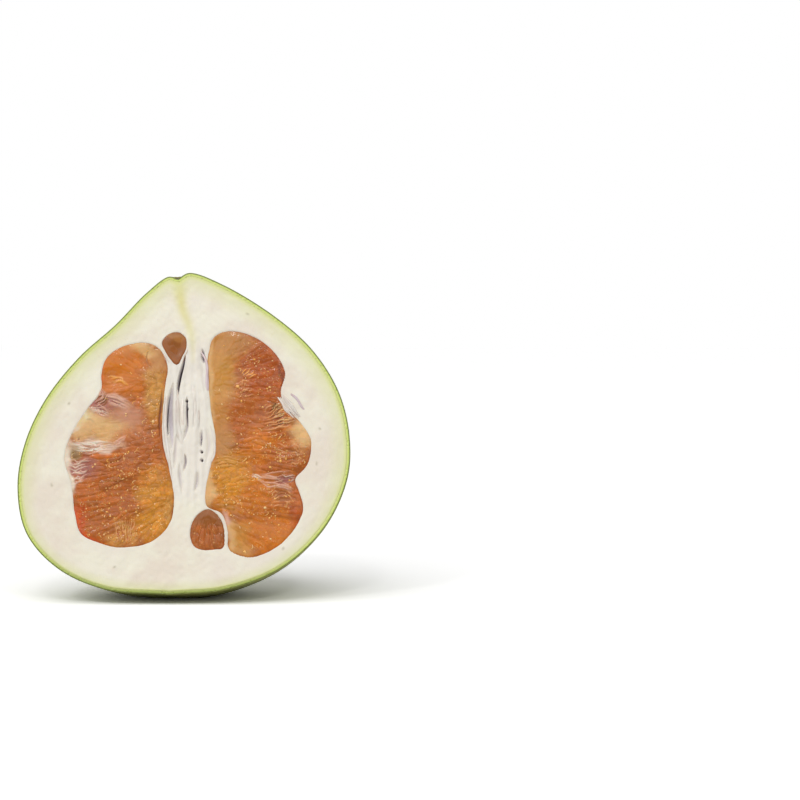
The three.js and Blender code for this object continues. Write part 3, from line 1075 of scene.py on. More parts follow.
RIGHT_SEGMENT = Segment(
    name="pulp_right",
    node="segment_right",
    tissue=Tissue.PULP,
    outline=Spline((
        (21.6, 122), (14, 118.9), (12, 111.6), (12.1, 97.5), (13.2, 84.5), (15.6, 70.4), (13.6, 60.3),
        (11.2, 48.3), (11.8, 40.7), (18.6, 37.1), (21.6, 29.2), (22.4, 20.7), (31, 17.1), (41, 19.8),
        (50.6, 27.8), (56.1, 38.7), (54.1, 47.6), (52.4, 52.9), (58, 59.9), (59.6, 70.4), (55, 78.8),
        (47.8, 86.4), (45.4, 93.8), (47.4, 102.1), (43, 111.2), (33.2, 119.2),
    ), closed=True),
    depth=16.5,
    sacs=JuiceSacs(spine=((9, 42), (11, 100)), seed=23),
    ground=Tone.AMBER,
    zones=(
        Zone(Tone.HONEY, (17.5, 97), (5, 21), skin=0.9),
        Zone(Tone.TAN, (22, 117), (8, 5), skin=0.9),
        Zone(Tone.BROWN, (38.5, 105), (8, 12), skin=0.35),
        Zone(Tone.DARK, (46.4, 100), (0.8, 6), 8, 0.3),
        Zone(Tone.CLAY, (27.5, 97), (3.4, 7), skin=0.1),
        Zone(Tone.STRAW, (12.8, 98), (1.3, 16), skin=0.9),
        Zone(Tone.AMBER, (27, 82), (9, 8), skin=0.6),
        Zone(Tone.CLAY, (36, 83), (7, 6), skin=0.2),
        Zone(Tone.ORANGE, (35, 70), (5, 7), skin=0.05),
        Zone(Tone.STRAW, (56, 74), (4, 6), skin=0.8),
        Zone(Tone.TAN, (18.5, 71), (4, 7), skin=0.8),
        Zone(Tone.GOLD, (21.5, 53), (7.5, 10), skin=0.0),
        Zone(Tone.STRAW, (12.6, 49.5), (1.8, 8), skin=0.8),
        Zone(Tone.ORANGE, (35, 46), (5.5, 8), skin=0.35),
        Zone(Tone.CLAY, (49, 46), (5.5, 5), skin=0.0),
        Zone(Tone.BROWN, (53.5, 36.5), (3, 6), skin=0.3),
        Zone(Tone.ORANGE, (39.5, 27.5), (10, 7), skin=0.6),
        Zone(Tone.HONEY, (27.5, 24.5), (4.5, 6.5), skin=0.8),
        Zone(Tone.STRAW, (24, 25), (1.6, 6), skin=0.9),
        Zone(Tone.BLUSH, (21.4, 32.5), (1.5, 5.5), 12, 1),
    ),
    folds=(
        Fan(((25.5, 96), (28, 98), (31, 98.8)),
            ((26.6, 90), (30, 91.8), (34, 92)), 7, Tone.SHELL, 0.24, 0.25, 0.7),
        # Painted highlight strokes.
        Fan(((26, 101), (28.4, 103), (30, 106)),
            ((30, 99.5), (32.5, 101), (35, 102)), 4, Tone.GLINT, 0.24, 0.2, 0.4),
        Fan(((26, 95), (29, 96.8), (32, 97)),
            ((27, 91), (30, 92.6), (33.4, 93)), 4, Tone.BROWN, 0.34, -0.25, 0.4),
        Fan(((37, 83.2), (41.5, 87.4), (46, 91)),
            ((37, 75.7), (45, 76.6), (52.7, 79.4)), 7, Tone.SHELL, 0.32, 0.3, 0.7),
        Fan(((40, 84.4), (43, 87.4), (46.4, 90.4)),
            ((42, 78), (47.2, 79), (53.4, 80.6)), 6, Tone.STRAW, 0.34, 0.35, 0.4),
        Fan(((39.6, 83.6), (42.6, 86), (45.6, 87.4)),
            ((40.6, 77.6), (46.4, 78.4), (51, 79.6)), 6, Tone.DARK, 0.26, -0.3, 0.4),
        Fan(((39, 90), (42.4, 88.4), (45.4, 86)),
            ((41, 87.6), (43.4, 86), (46, 84)), 3, Tone.UMBER, 0.8, -0.3, 0.3),
        Fan(((34.4, 55.4), (41.7, 55.4), (52.8, 56.8)),
            ((33.4, 53.2), (41.8, 49.8), (51, 50.7)), 7, Tone.BLUSH, 0.27, 0.3, 0.8),
        Fan(((31.6, 55.4), (34.4, 54.8), (37.8, 53.6)),
            ((31.6, 54.8), (34.4, 53.8), (37.6, 52.8)), 2, Tone.MILK, 0.32, 0.3, 0.2),
        Fan(((41, 51.4), (47, 51.2), (53, 47.4)),
            ((42, 49.4), (47, 49), (53.6, 44.8)), 4, Tone.BLUSH, 0.26, 0.3, 0.5),
        Fan(((46, 55.4), (49, 54.4), (53.8, 54.8)),
            ((47, 52.4), (49, 52), (53, 52.6)), 3, Tone.CREAM, 0.28, 0.3, 0.5),
        Fan(((42, 53.6), (47, 53.6), (53, 54.6)),
            ((43, 51.4), (47, 51.6), (52, 52.4)), 3, Tone.MAUVE, 0.8, -0.3, 0.3),
        Fan(((40.6, 46), (43, 47), (46, 46.4)),
            ((41.6, 39), (44, 41), (47, 40.6)), 5, Tone.SHELL, 0.22, 0.25, 0.5),
        Fan(((46, 48), (49, 47.4), (52, 45)),
            ((46.6, 40), (49, 41.4), (52, 41)), 4, Tone.SHELL, 0.22, 0.25, 0.5),
        Fan(((41.6, 47), (46, 48), (51, 46)),
            ((42.6, 40), (47, 42), (53, 41)), 6, Tone.UMBER, 0.34, -0.25, 0.5),
        Fan(((44, 71), (47, 70.6), (50, 68.6)),
            ((42, 63), (45, 62), (49, 63)), 5, Tone.SHELL, 0.2, 0.25, 0.5),
        Fan(((50, 69), (52.4, 68.6), (55, 66)),
            ((49, 60), (52, 60), (55.6, 61.6)), 5, Tone.SHELL, 0.2, 0.25, 0.5),
        Fan(((46, 68), (50, 67), (55, 64)),
            ((45, 61), (50, 60), (56, 62)), 5, Tone.UMBER, 0.26, -0.25, 0.5),
        Fan(((14.4, 62), (22, 63), (30, 61)),
            ((13.4, 58), (20, 59), (28, 57)), 4, Tone.HONEY, 0.4, 0.2, 0.4),
    ),
)

UPPER_TIP = Segment(
    name="pulp_tip_upper",
    node="segment_tip_upper",
    tissue=Tissue.TIP,
    outline=Spline((
        (-2.8, 121.5), (-7.3, 120.2), (-9.9, 116.7), (-8.3, 112.6), (-5.9, 108.9), (-3, 106.3),
        (-0.5, 109.8), (1.5, 114.3), (1, 119),
    ), closed=True),
    depth=8.6,
    sacs=JuiceSacs(spine=((-2.5, 104), (-2.5, 106)), seed=31, width=3.6),
    ground=Tone.UMBER,
    zones=(Zone(Tone.UMBER, (-3.4, 114), (8, 9), skin=0.9), Zone(Tone.TAN, (-4, 120), (4, 1.4), skin=0.9)),
    columns=260, rings=60, shoulder=3.0, bulge=0.1, uneven=0.05,
)

LOWER_TIP = Segment(
    name="pulp_tip_lower",
    node="segment_tip_lower",
    tissue=Tissue.TIP,
    outline=Spline((
        (12.1, 39), (7.8, 36.6), (5, 31.8), (4.6, 26.1), (6.5, 22), (10.9, 20.4), (15.9, 20.7),
        (19.4, 21.5), (20.1, 26.1), (19.2, 32.2), (16.4, 36.8),
    ), closed=True),
    depth=8.6,
    sacs=JuiceSacs(spine=((12.3, 40), (12.4, 43)), seed=41, width=2.6),
    ground=Tone.UMBER,
    zones=(
        Zone(Tone.UMBER, (12, 36), (6, 4), skin=0.95),
        Zone(Tone.CLAY, (12, 25), (6, 6), skin=0.2),
    ),
    folds=(
        Fan(((7.6, 22), (8.6, 28), (10.4, 33)),
            ((17, 22), (16, 28), (14, 33)), 5, Tone.CLAY, 0.3, 0.2, 0.2),
    ),
    columns=280, rings=70, shoulder=3.0, bulge=0.3, uneven=0.12,
)

SEGMENTS = (LEFT_SEGMENT, RIGHT_SEGMENT, UPPER_TIP, LOWER_TIP)


@dataclass(frozen=True)
class JuiceGlints:
    """Beads of juice and sac ends, a little proud of the wet parts of the segments, in painted highlight
    colours.
    """

    name: str = "juice_glints"
    beads: float = 0.36
    bead_size: float = 0.26
    arcs: float = 0.8
    arc_width: float = 0.19
    margin: float = 1.3
    seed: int = 601

    @staticmethod
    def _wet(segment: Segment, points: np.ndarray) -> np.ndarray:
        """Chance of a glint at each point: in patches, and less under a cover."""
        patch = 0.05 + 0.95 * step(-0.2, 1.4, Ripple(8, segment.sacs.seed + 9).at(points))
        return patch * (1 - segment.view(points).cover) ** 1.5

    @staticmethod
    def _colours(random: np.random.Generator, count: int) -> np.ndarray:
        """Picks a painted highlight colour for each glint, between gold and pearl.

        Args:
            random: the source of the draws.
            count: the number of glints.

        Returns:
            An array of count by 4, with alpha 1.
        """
        share = random.uniform(0, 1, (count, 1)) ** 1.5
        mixed = Tone.GLINT.linear() * (1 - share) + Tone.PEARL_GLINT.linear() * share
        return np.concatenate([mixed, np.ones((count, 1))], axis=1)

    def _beads(self, segment: Segment, random: np.random.Generator) -> list[Surface]:
        """Low oval beads at random spots of a segment.

        Args:
            segment: the segment.
            random: the source of the draws.

        Returns:
            A surface for each bead.
        """
        loop = segment.outline.even(150)
        low, high = loop.min(0), loop.max(0)
        spots = random.uniform(low, high, (int(self.beads * np.prod(high - low)), 2))
        spots = spots[depth_inside(spots, loop) > self.margin]
        spots = spots[random.uniform(size=len(spots)) < self._wet(segment, spots)]
        back = segment.view(spots).back
        ring = np.arange(7) * 2 * math.pi / 7
        polar, around = np.meshgrid(np.linspace(0, math.pi, 5), ring, indexing="ij")
        out = np.sin(polar)
        ball = np.stack([out * np.cos(around), -np.cos(polar), out * np.sin(around)], axis=-1)
        sizes = self.bead_size * np.exp(random.normal(0, 0.35, len(spots)))
        # Painted highlight colours on the beads.
        tones = self._colours(random, len(spots))
        parts = []
        for spot, depth, size, tone in zip(spots, back, sizes, tones, strict=True):
            form = size * np.array([random.uniform(0.8, 1.5), 0.7, random.uniform(0.8, 1.3)])
            grid = ball * form + np.array([spot[0], depth, spot[1]])
            values = {"tone": np.tile(tone, (*grid.shape[:2], 1))}
            parts.append(Surface.from_grid(grid, True, values).flipped())
        return parts

    def _arcs(self, segment: Segment, random: np.random.Generator) -> list[Surface]:
        """Thin curved ridges round the outer ends of a share of the sacs.

        Args:
            segment: the segment.
            random: the source of the draws.

        Returns:
            A surface for each ridge.
        """
        places, headings, lengths = segment.sacs.seeds()
        loop = segment.outline.even(150)
        kept = np.flatnonzero(depth_inside(places, loop) > self.margin + 0.6)
        kept = kept[random.uniform(size=len(kept)) < self.arcs * 2.2 * self._wet(segment, places[kept])]
        turn = np.linspace(-1, 1, 10) * random.uniform(0.3, 1.0, (len(kept), 1))
        turn = turn + random.uniform(-0.4, 0.4, (len(kept), 1))
        heading = headings[kept][:, None]
        beside = np.stack([-heading[..., 1], heading[..., 0]], axis=-1)
        reach = np.minimum(lengths[kept], 6.0)[:, None, None] * 0.5
        half = segment.sacs.width * 0.5
        flat = places[kept][:, None] + reach * np.cos(turn)[..., None] * heading
        flat = flat + half * np.sin(turn)[..., None] * beside
        seen = segment.view(flat.reshape(-1, 2))
        back = seen.back.reshape(turn.shape)
        whole = (seen.inside.reshape(turn.shape) > 0.8).all(axis=1)
        taper = np.sin(math.pi * np.linspace(0.08, 0.92, 10))
        parts = []
        for line, depth in zip(flat[whole], back[whole], strict=True):
            width = self.arc_width * random.uniform(0.6, 1.3) * taper
            ridge = tube(np.stack([line[:, 0], depth, line[:, 1]], axis=1), width, width, sides=6)
            ridge.values["tone"] = np.tile(self._colours(random, 1), (len(ridge.points), 1))
            parts.append(ridge)
        return parts

    def surface(self) -> Surface:
        """All beads and ridges of the two big segments as one surface.

        Returns:
            The surface, with the value tone.
        """
        random = np.random.default_rng(self.seed)
        parts = []
        for segment in (LEFT_SEGMENT, RIGHT_SEGMENT):
            parts += self._beads(segment, random) + self._arcs(segment, random)
        return Surface.joined(parts)


@dataclass(frozen=True)
class RindShell:
    """The rind as a closed thin shell, with its skin outside and its cut edge round the face."""

    skin: Skin
    rows: int = 240
    columns: int = 260
    inner_columns: int = 60
    edge: int = 4
    thickness: float = 1.6
    dent: float = 0.17

    def _half_ring(self, columns: int, depth: float) -> tuple[np.ndarray, np.ndarray, np.ndarray]:
        """Lays out one side of the shell, from the right rim round to the left one.

        Args:
            columns: the number of steps round.
            depth: millimetres under the skin.

        Returns:
            The turns, the downs and the points.
        """
        around = np.linspace(0, math.pi, columns + 1)
        down, turn = np.meshgrid(self.skin.rows(self.rows), around, indexing="ij")
        return turn, down, self.skin.inset(turn, down, depth)

    def surface(self) -> Surface:
        """Builds the shell: over the skin, across one cut edge, back inside and across the other edge.

        The skin is moved along its normal by low dents, which die out at the rim with the sine of the turn.

        Returns:
            The surface, with the values deep (mm under the skin) and stem (nearness to the stem scar).
        """
        turn, down, outer = self._half_ring(self.columns, 0)
        waves = Ripple(26, 71).at(outer.reshape(-1, 3)) + 0.45 * Ripple(11, 72).at(outer.reshape(-1, 3))
        fade = np.sin(turn) * np.sqrt(np.sin(math.pi * down))
        inward = self.skin.inset(turn, down, 1.0) - outer
        outer = outer + inward * (self.dent * waves.reshape(turn.shape) * fade)[..., None]
        inner = self._half_ring(self.inner_columns, self.thickness)[2][:, ::-1]
        share = np.linspace(0, 1, self.edge + 2)[1:-1]
        left = outer[:, -1:] + (inner[:, :1] - outer[:, -1:]) * share[:, None]
        right = inner[:, -1:] + (outer[:, :1] - inner[:, -1:]) * share[:, None]
        grid = np.concatenate([outer, left, inner, right], axis=1)
        rows = self.rows + 1
        deep = np.concatenate([
            np.zeros(self.columns + 1), share * self.thickness,
            np.full(self.inner_columns + 1, self.thickness), share[::-1] * self.thickness,
        ])
        from_stem = np.hypot(grid[..., 0] - self.skin.stem_axis, grid[..., 1])
        stem = np.where(grid[..., 2] > self.skin.top / 2, np.exp(-((from_stem / 3.5) ** 2)), 0)
        values = {"deep": np.tile(deep, (rows, 1)), "stem": stem}
        return Surface.from_grid(grid, wrap=True, values=values).flipped()


@dataclass(frozen=True)
class PithBody:
    """The white pith with the core: the cut face in front and a plain dome under the rind behind."""

    skin: Skin
    under_rind: float = 1.6
    clearance: float = 0.15
    middle: tuple[float, float] = (-0.5, 75.0)
    half_columns: int = 240
    rings: int = 160
    dome_columns: int = 48
    streak: Pairs = ((-2.9, 146.4), (-1.6, 138), (-0.4, 132), (2.2, 125.6), (4.1, 118), (4.6, 108))
    pits: Pairs = ((9.2, 65.6), (9.3, 61.7), (2, 89.3), (2.3, 85.6))
    specks: Pairs = (
        (-59.6, 50.3), (62.2, 60.2), (63.6, 76.4), (-52.5, 88), (30, 130), (-30, 12.6), (47, 21),
    )
    grooves: tuple[Groove, ...] = (
        Groove(((1, 110.5), (0.2, 106.5), (-1, 101.9), (-1.9, 96.8), (-2.3, 91)), 1.5, 4.6),
        Groove(((-4.4, 97.5), (-5.4, 90), (-5.6, 82.8), (-5, 75.8), (-4.2, 66)), 3.4, 2.8),
        Groove(((-5.4, 94.5), (-6.7, 86), (-6.9, 78.1), (-6.4, 72)), 0.7, 4.2),
        Groove(((2, 91), (2.1, 87.9), (2.2, 83.2), (2.6, 76)), 0.9, 4.0),
        Groove(((2.7, 80), (2.1, 76), (0.8, 71.5)), 1.6, 1.9),
        Groove(((-2.6, 74), (-3, 67), (-3.2, 58)), 2.0, 1.4),
        Groove(((1.4, 64.6), (1.8, 61), (1, 57)), 1.2, 2.2),
        Groove(((5.6, 96), (5.9, 86), (5.4, 76)), 1.5, 1.1),
        Groove(((8.9, 113.4), (9.2, 110.6), (9.6, 107)), 1.5, 3.9),
        Groove(((8.7, 106.6), (9.4, 100), (10.4, 93)), 1.6, 1.3),
        Groove(((9, 75.6), (8.9, 72), (8.7, 68)), 0.8, 4.2),
        Groove(((11, 77), (12.6, 69), (11.4, 60)), 2.6, 1.3),
        Groove(((-1, 60), (-0.6, 54), (0.6, 47)), 2.2, 1.5),
        Groove(((7.4, 56.4), (7.2, 52), (6.2, 47)), 2.0, 1.6),
    )

    def _core(self, points: np.ndarray) -> np.ndarray:
        """Mask of the fibrous core, 1 between the big segments and 0 elsewhere."""
        across = np.abs(points[:, 0] - 3.2 + 0.02 * (points[:, 1] - 75))
        return (1 - step(7, 12, across)) * step(36, 50, points[:, 1]) * (1 - step(108, 124, points[:, 1]))

    def _hollow(self, points: np.ndarray) -> np.ndarray:
        """Depth of the splits and pits of the core.

        Args:
            points: N points (u, v).

        Returns:
            N depths, in millimetres.
        """
        depth = np.zeros(len(points))
        for groove in self.grooves:
            depth = np.maximum(depth, groove.at(points))
        for pit in self.pits:
            depth = np.maximum(depth, 4.2 * (1 - step(0.2, 0.85, np.hypot(*(points - np.array(pit)).T))))
        return depth

    def _face(self, points: np.ndarray, hollow: np.ndarray) -> np.ndarray:
        """Depth of the cut face behind its plane: pockets, splits, the core's folds and the knife's marks.

        Args:
            points: N points (u, v).
            hollow: the depth of the splits and pits at them.

        Returns:
            N depths, in millimetres.
        """
        depth = hollow.copy()
        for segment in SEGMENTS:
            depth = np.maximum(depth, segment.pocket_at(points))
        core = self._core(points)
        folds = 0.26 * Ripple(4.2, 81, stretch=8).at(points) + 0.25 * Ripple(9, 82, stretch=3).at(points)
        knife = 0.1 * Ripple(9, 83).at(points) + 0.05 * Ripple(3.2, 84).at(points)
        return depth + core * folds + knife

    def surface(self) -> Surface:
        """Builds the closed body: rings from the core to the rim, then rows over the dome behind.

        The face is a height field on rings that grow from the core to the rim. The dome takes the rim's own
        points as its ends, so the two halves meet point on point. The value edge is the distance from the
        rim, doubled at the foot, where the green band is half as wide.

        Returns:
            The surface, with the values edge, hollow, streak, core and speck.
        """
        rim = self.skin.rim(self.under_rind, self.half_columns)
        middle = np.array(self.middle)
        share = np.linspace(0, 1, self.rings + 1) ** 0.92
        rings = middle + (rim - middle) * share[:, None, None]
        flat = rings.reshape(-1, 2)
        edge = depth_inside(flat, rim[::2]) * (2 - step(8, 60, flat[:, 1]))
        hollow = self._hollow(flat)
        depth = self._face(flat, hollow) * step(0, 3, edge)
        near, along = nearest_on_path(flat, Spline(self.streak).even(50))
        streak = np.exp(-((near / (3.1 - 1.8 * along)) ** 2)) * (1 - 0.8 * along)
        speck = np.zeros(len(flat))
        for spot in self.specks:
            speck = np.maximum(speck, 1 - step(0.2, 0.9, np.hypot(*(flat - np.array(spot)).T)))
        shape = rings.shape[:2]
        face = np.stack([rings[..., 0], depth.reshape(shape), rings[..., 1]], axis=-1)
        front = Surface.from_grid(face, True, {
            "edge": np.maximum(edge, 0).reshape(shape), "hollow": hollow.reshape(shape),
            "streak": streak.reshape(shape), "core": self._core(flat).reshape(shape),
            "speck": speck.reshape(shape),
        })
        down, turn = np.meshgrid(
            self.skin.rows(self.half_columns),
            np.linspace(0, math.pi, self.dome_columns + 1),
            indexing="ij",
        )
        dome = self.skin.inset(turn, down, self.under_rind + self.clearance * np.sin(turn))
        plain = {name: np.zeros(dome.shape[:2]) for name in front.values}
        back = Surface.from_grid(dome, False, plain)
        return Surface.joined([front, back.flipped()])


@dataclass(frozen=True)
class FibrePiece:
    """One piece made of the tubes of several fans."""

    name: str
    fans: tuple[Fan, ...]
    seed: int

    def surface(self) -> Surface:
        """All the fans as one surface."""
        return Surface.joined([fan.surface(self.seed + n) for n, fan in enumerate(self.fans)])


MEMBRANES = FibrePiece("membranes", (
    Fan(((-2, 107.5), (-7.2, 95.2), (-8.4, 78.4), (-6.7, 66), (-5.3, 55.8), (-3.8, 45.8), (-3.2, 36)),
        ((-1.6, 107), (-6.6, 95), (-7.9, 78.4), (-6.2, 66), (-4.9, 55.8), (-3.4, 46), (-3, 37)),
        2, Tone.WHITE, 0.62, 0.4, 0.12, 1.2),
    Fan(((12.4, 86), (13.2, 78.4), (15.2, 70.8), (15, 64.2), (12.2, 58.3), (11, 52)),
        ((12.6, 85), (13, 78.4), (14.8, 70.8), (14.8, 64.2), (12, 58.3), (10.9, 53)),
        2, Tone.WHITE, 0.42, 0.35, 0.12, 1.1),
    Fan.single(((-10.8, 116), (-9.4, 112.4), (-6.7, 108), (-3.6, 105)), Tone.WHITE, 0.4, 0.35, 0.1, 0.8),
    Fan.single(((-3, 105.6), (0.2, 109.4), (2.3, 114.4), (1.6, 119.6)), Tone.CREAM, 0.36, 0.3, 0.1, 0.8),
), 301)

TORN_STRANDS = FibrePiece("torn_strands", (
    Fan(((43.4, 92.2), (46.8, 86.6), (51.6, 80.6)),
        ((45.4, 93.4), (49.8, 88), (56, 80.4)), 6, Tone.WHITE, 0.5, 0.4, 0.3, 0.5, -0.25),
    Fan(((45.8, 89), (43.4, 86.8), (41.4, 83.6)),
        ((53.4, 80.6), (48, 80), (43.6, 78.4)), 6, Tone.STRAW, 0.22, 0.24, 0.3, 0.6),
    Fan.single(((46, 96.6), (52.6, 90), (59, 82)), Tone.LILAC, 0.55, 0.2, 0.3, 0.3),
), 401)

CORE_FIBRES = FibrePiece("core_fibres", (
    Fan(((-3.4, 100), (-3.2, 90.7), (-3, 80.4), (-1.4, 71), (0, 64)),
        ((-3, 98), (-2.4, 90), (-2, 80), (-0.4, 71), (1, 65)), 2, Tone.WHITE, 0.9, 0.5, 0.2, 1.2),
    Fan(((0, 96), (0.2, 88), (0.3, 80), (1, 73)),
        ((0.4, 95), (0.8, 88), (1, 80), (1.4, 74)), 1, Tone.WHITE, 0.7, 0.45, 0.2, 1.2),
    Fan(((4.4, 108), (4.8, 96), (5, 82), (4.8, 66)),
        ((7, 104), (6.6, 94), (6.8, 82), (7, 68)), 3, Tone.WHITE, 1.1, 0.3, 0.3, 0.9, 0.3),
    Fan(((8, 113), (10.6, 108), (11.2, 98), (11.4, 88)),
        ((9.8, 112), (11.2, 106), (11.6, 98), (11.6, 90)), 2, Tone.LILAC, 0.5, 0.3, 0.2, 0.7),
), 501)


class Recipe:
    """Builds the nodes of one material or of one shader group."""

    def __init__(self, tree: Tree) -> None:
        """Keeps the tree that the nodes go in."""
        self.tree = tree

    def link(self, source: Socket, node: Node, name: str | int) -> None:
        """Joins a socket to a node's input."""
        self.tree.links.new(source, node.inputs[name])

    def add(self, kind: str, values: dict | None = None, **settings: object) -> Node:
        """Adds a node, sets its properties, and fills its inputs from constants or from other sockets.

        Args:
            kind: the node's type name.
            values: an input's name or number, with a constant or an output socket.
            settings: properties of the node.

        Returns:
            The node.
        """
        node = self.tree.nodes.new(kind)
        for name, value in settings.items():
            setattr(node, name, value)
        for name, value in (values or {}).items():
            if isinstance(value, Socket):
                self.link(value, node, name)
            else:
                node.inputs[name].default_value = value
        return node

    def object_space(self) -> Socket:
        """Object coordinates, in metres."""
        return self.add("ShaderNodeTexCoord").outputs["Object"]

    def value(self, name: str) -> Socket:
        """The piece's own value at each point."""
        return self.add("ShaderNodeAttribute", attribute_name=name).outputs["Fac"]

    def tint(self, name: str) -> Socket:
        """The piece's own colour at each point."""
        return self.add("ShaderNodeAttribute", attribute_name=name).outputs["Color"]

    def maths(self, operation: str, *terms: object) -> Socket:
        """A sum, product or other operation on numbers, without a clamp."""
        return self.add("ShaderNodeMath", dict(enumerate(terms)), operation=operation).outputs[0]

    def fade(
        self, value: object, start: float, end: float, low: float = 0.0, high: float = 1.0
    ) -> Socket:
        """Smooth step of a value from start to end, mapped to low and high."""
        numbers = {"Value": value, "From Min": start, "From Max": end, "To Min": low, "To Max": high}
        return self.add("ShaderNodeMapRange", numbers, interpolation_type="SMOOTHSTEP").outputs["Result"]

    def blend(self, share: object, first: object, second: object, mode: str = "MIX") -> Socket:
        """Mixes two colours by a share."""
        values = {0: share, 6: first, 7: second}
        return self.add("ShaderNodeMix", values, data_type="RGBA", blend_type=mode).outputs[2]

    def layered(self, base: Socket, *layers: tuple[object, Shade]) -> Socket:
        """Lays colours over a base one after another, each by its share.

        Args:
            base: the colour beneath.
            layers: pairs of a share and a shade.

        Returns:
            The colour on top.
        """
        for share, shade in layers:
            base = self.blend(share, base, shade.colour())
        return base

    def noise(self, place: object, scale: float, detail: float = 3.0, rough: float = 0.55) -> Socket:
        """Noise of a scale in waves a metre."""
        values = {"Vector": place, "Scale": scale, "Detail": detail, "Roughness": rough}
        return self.add("ShaderNodeTexNoise", values).outputs["Fac"]

    def group(self, tree: Tree, values: dict[str, object]) -> Node:
        """Adds a shader group and fills its inputs."""
        return self.add("ShaderNodeGroup", values, node_tree=tree)


class Groups:
    """The shader groups that several finishes share."""

    def __init__(self) -> None:
        """Builds each group once."""
        self.mottle = self._mottle()
        self.specks = self._specks()
        self.grain = self._grain()

    @staticmethod
    def _start(
        name: str, inputs: dict[str, Kind], outputs: dict[str, Kind]
    ) -> tuple[Recipe, dict[str, Socket], Node]:
        """Makes an empty group with its sockets.

        Args:
            name: the group's name.
            inputs: the inputs' names and kinds.
            outputs: the outputs' names and kinds.

        Returns:
            The recipe, the input sockets by name, and the output node.
        """
        tree = bpy.data.node_groups.new(name, "ShaderNodeTree")
        for label, kind in inputs.items():
            tree.interface.new_socket(label, in_out="INPUT", socket_type=kind.value)
        for label, kind in outputs.items():
            tree.interface.new_socket(label, in_out="OUTPUT", socket_type=kind.value)
        recipe = Recipe(tree)
        return recipe, dict(recipe.add("NodeGroupInput").outputs.items()), recipe.add("NodeGroupOutput")

    def _mottle(self) -> Tree:
        """Soft patches: two scales of noise mix a low and a high colour.

        Returns:
            The group's tree.
        """
        inputs = {"Place": Kind.VECTOR, "Scale": Kind.VALUE, "Low": Kind.COLOUR, "High": Kind.COLOUR}
        recipe, given, out = self._start("soft_mottle", inputs, {"Colour": Kind.COLOUR})
        coarse = recipe.noise(given["Place"], given["Scale"], 3.0, 0.5)
        fine = recipe.noise(given["Place"], recipe.maths("MULTIPLY", given["Scale"], 3.7), 2.0, 0.5)
        mean = recipe.maths("MULTIPLY_ADD", fine, 0.35, recipe.maths("MULTIPLY", coarse, 0.65))
        share = recipe.fade(mean, 0.38, 0.62)
        recipe.link(recipe.blend(share, given["Low"], given["High"]), out, "Colour")
        return recipe.tree

    def _specks(self) -> Tree:
        """Small round specks: the middles of Voronoi cells, of which a random share is kept.

        Returns:
            The group's tree.
        """
        inputs = {"Place": Kind.VECTOR, "Scale": Kind.VALUE, "Size": Kind.VALUE, "Rarity": Kind.VALUE}
        recipe, given, out = self._start("speck_mask", inputs, {"Mask": Kind.VALUE})
        cells = recipe.add("ShaderNodeTexVoronoi", {"Vector": given["Place"], "Scale": given["Scale"]})
        near = recipe.maths("LESS_THAN", cells.outputs["Distance"], given["Size"])
        random = recipe.add("ShaderNodeSeparateColor", {"Color": cells.outputs["Color"]}).outputs[0]
        kept = recipe.maths("GREATER_THAN", random, given["Rarity"])
        recipe.link(recipe.maths("MULTIPLY", near, kept), out, "Mask")
        return recipe.tree

    def _grain(self) -> Tree:
        """Fine grain: noise of one scale turned into a bumped normal.

        Returns:
            The group's tree.
        """
        inputs = {"Place": Kind.VECTOR, "Scale": Kind.VALUE, "Strength": Kind.VALUE, "Normal": Kind.VECTOR}
        recipe, given, out = self._start("fine_grain", inputs, {"Normal": Kind.VECTOR})
        noise = recipe.noise(given["Place"], given["Scale"], 4.0, 0.5)
        bump = recipe.add("ShaderNodeBump", {
            "Strength": given["Strength"], "Distance": 0.0004,
            "Height": noise, "Normal": given["Normal"],
        })
        recipe.link(bump.outputs["Normal"], out, "Normal")
        return recipe.tree


@dataclass(frozen=True)
class Finish:
    """What every finish has: its name and its constants for the surface shader."""

    name: str
    rough: float
    coat: float
    coat_rough: float
    scatter: float
    scatter_reach: float
    scatter_tint: Point
    specular: float = 0.5

    def start(self) -> tuple[Recipe, Node, Material]:
        """Makes the material with its surface shader.

        Returns:
            The recipe, the shader node and the material.
        """
        material = bpy.data.materials.new(self.name)
        material.use_nodes = True
        recipe = Recipe(material.node_tree)
        shader = material.node_tree.nodes["Principled BSDF"]
        constants = {
            "Roughness": self.rough, "Coat Weight": self.coat, "Coat Roughness": self.coat_rough,
            "Subsurface Weight": self.scatter, "Subsurface Scale": self.scatter_reach,
            "Subsurface Radius": self.scatter_tint, "Specular IOR Level": self.specular,
        }
        for name, value in constants.items():
            shader.inputs[name].default_value = value
        return recipe, shader, material

    def material(self, groups: Groups) -> Material:
        """Builds the material; each kind of finish has its own way."""
        raise NotImplementedError


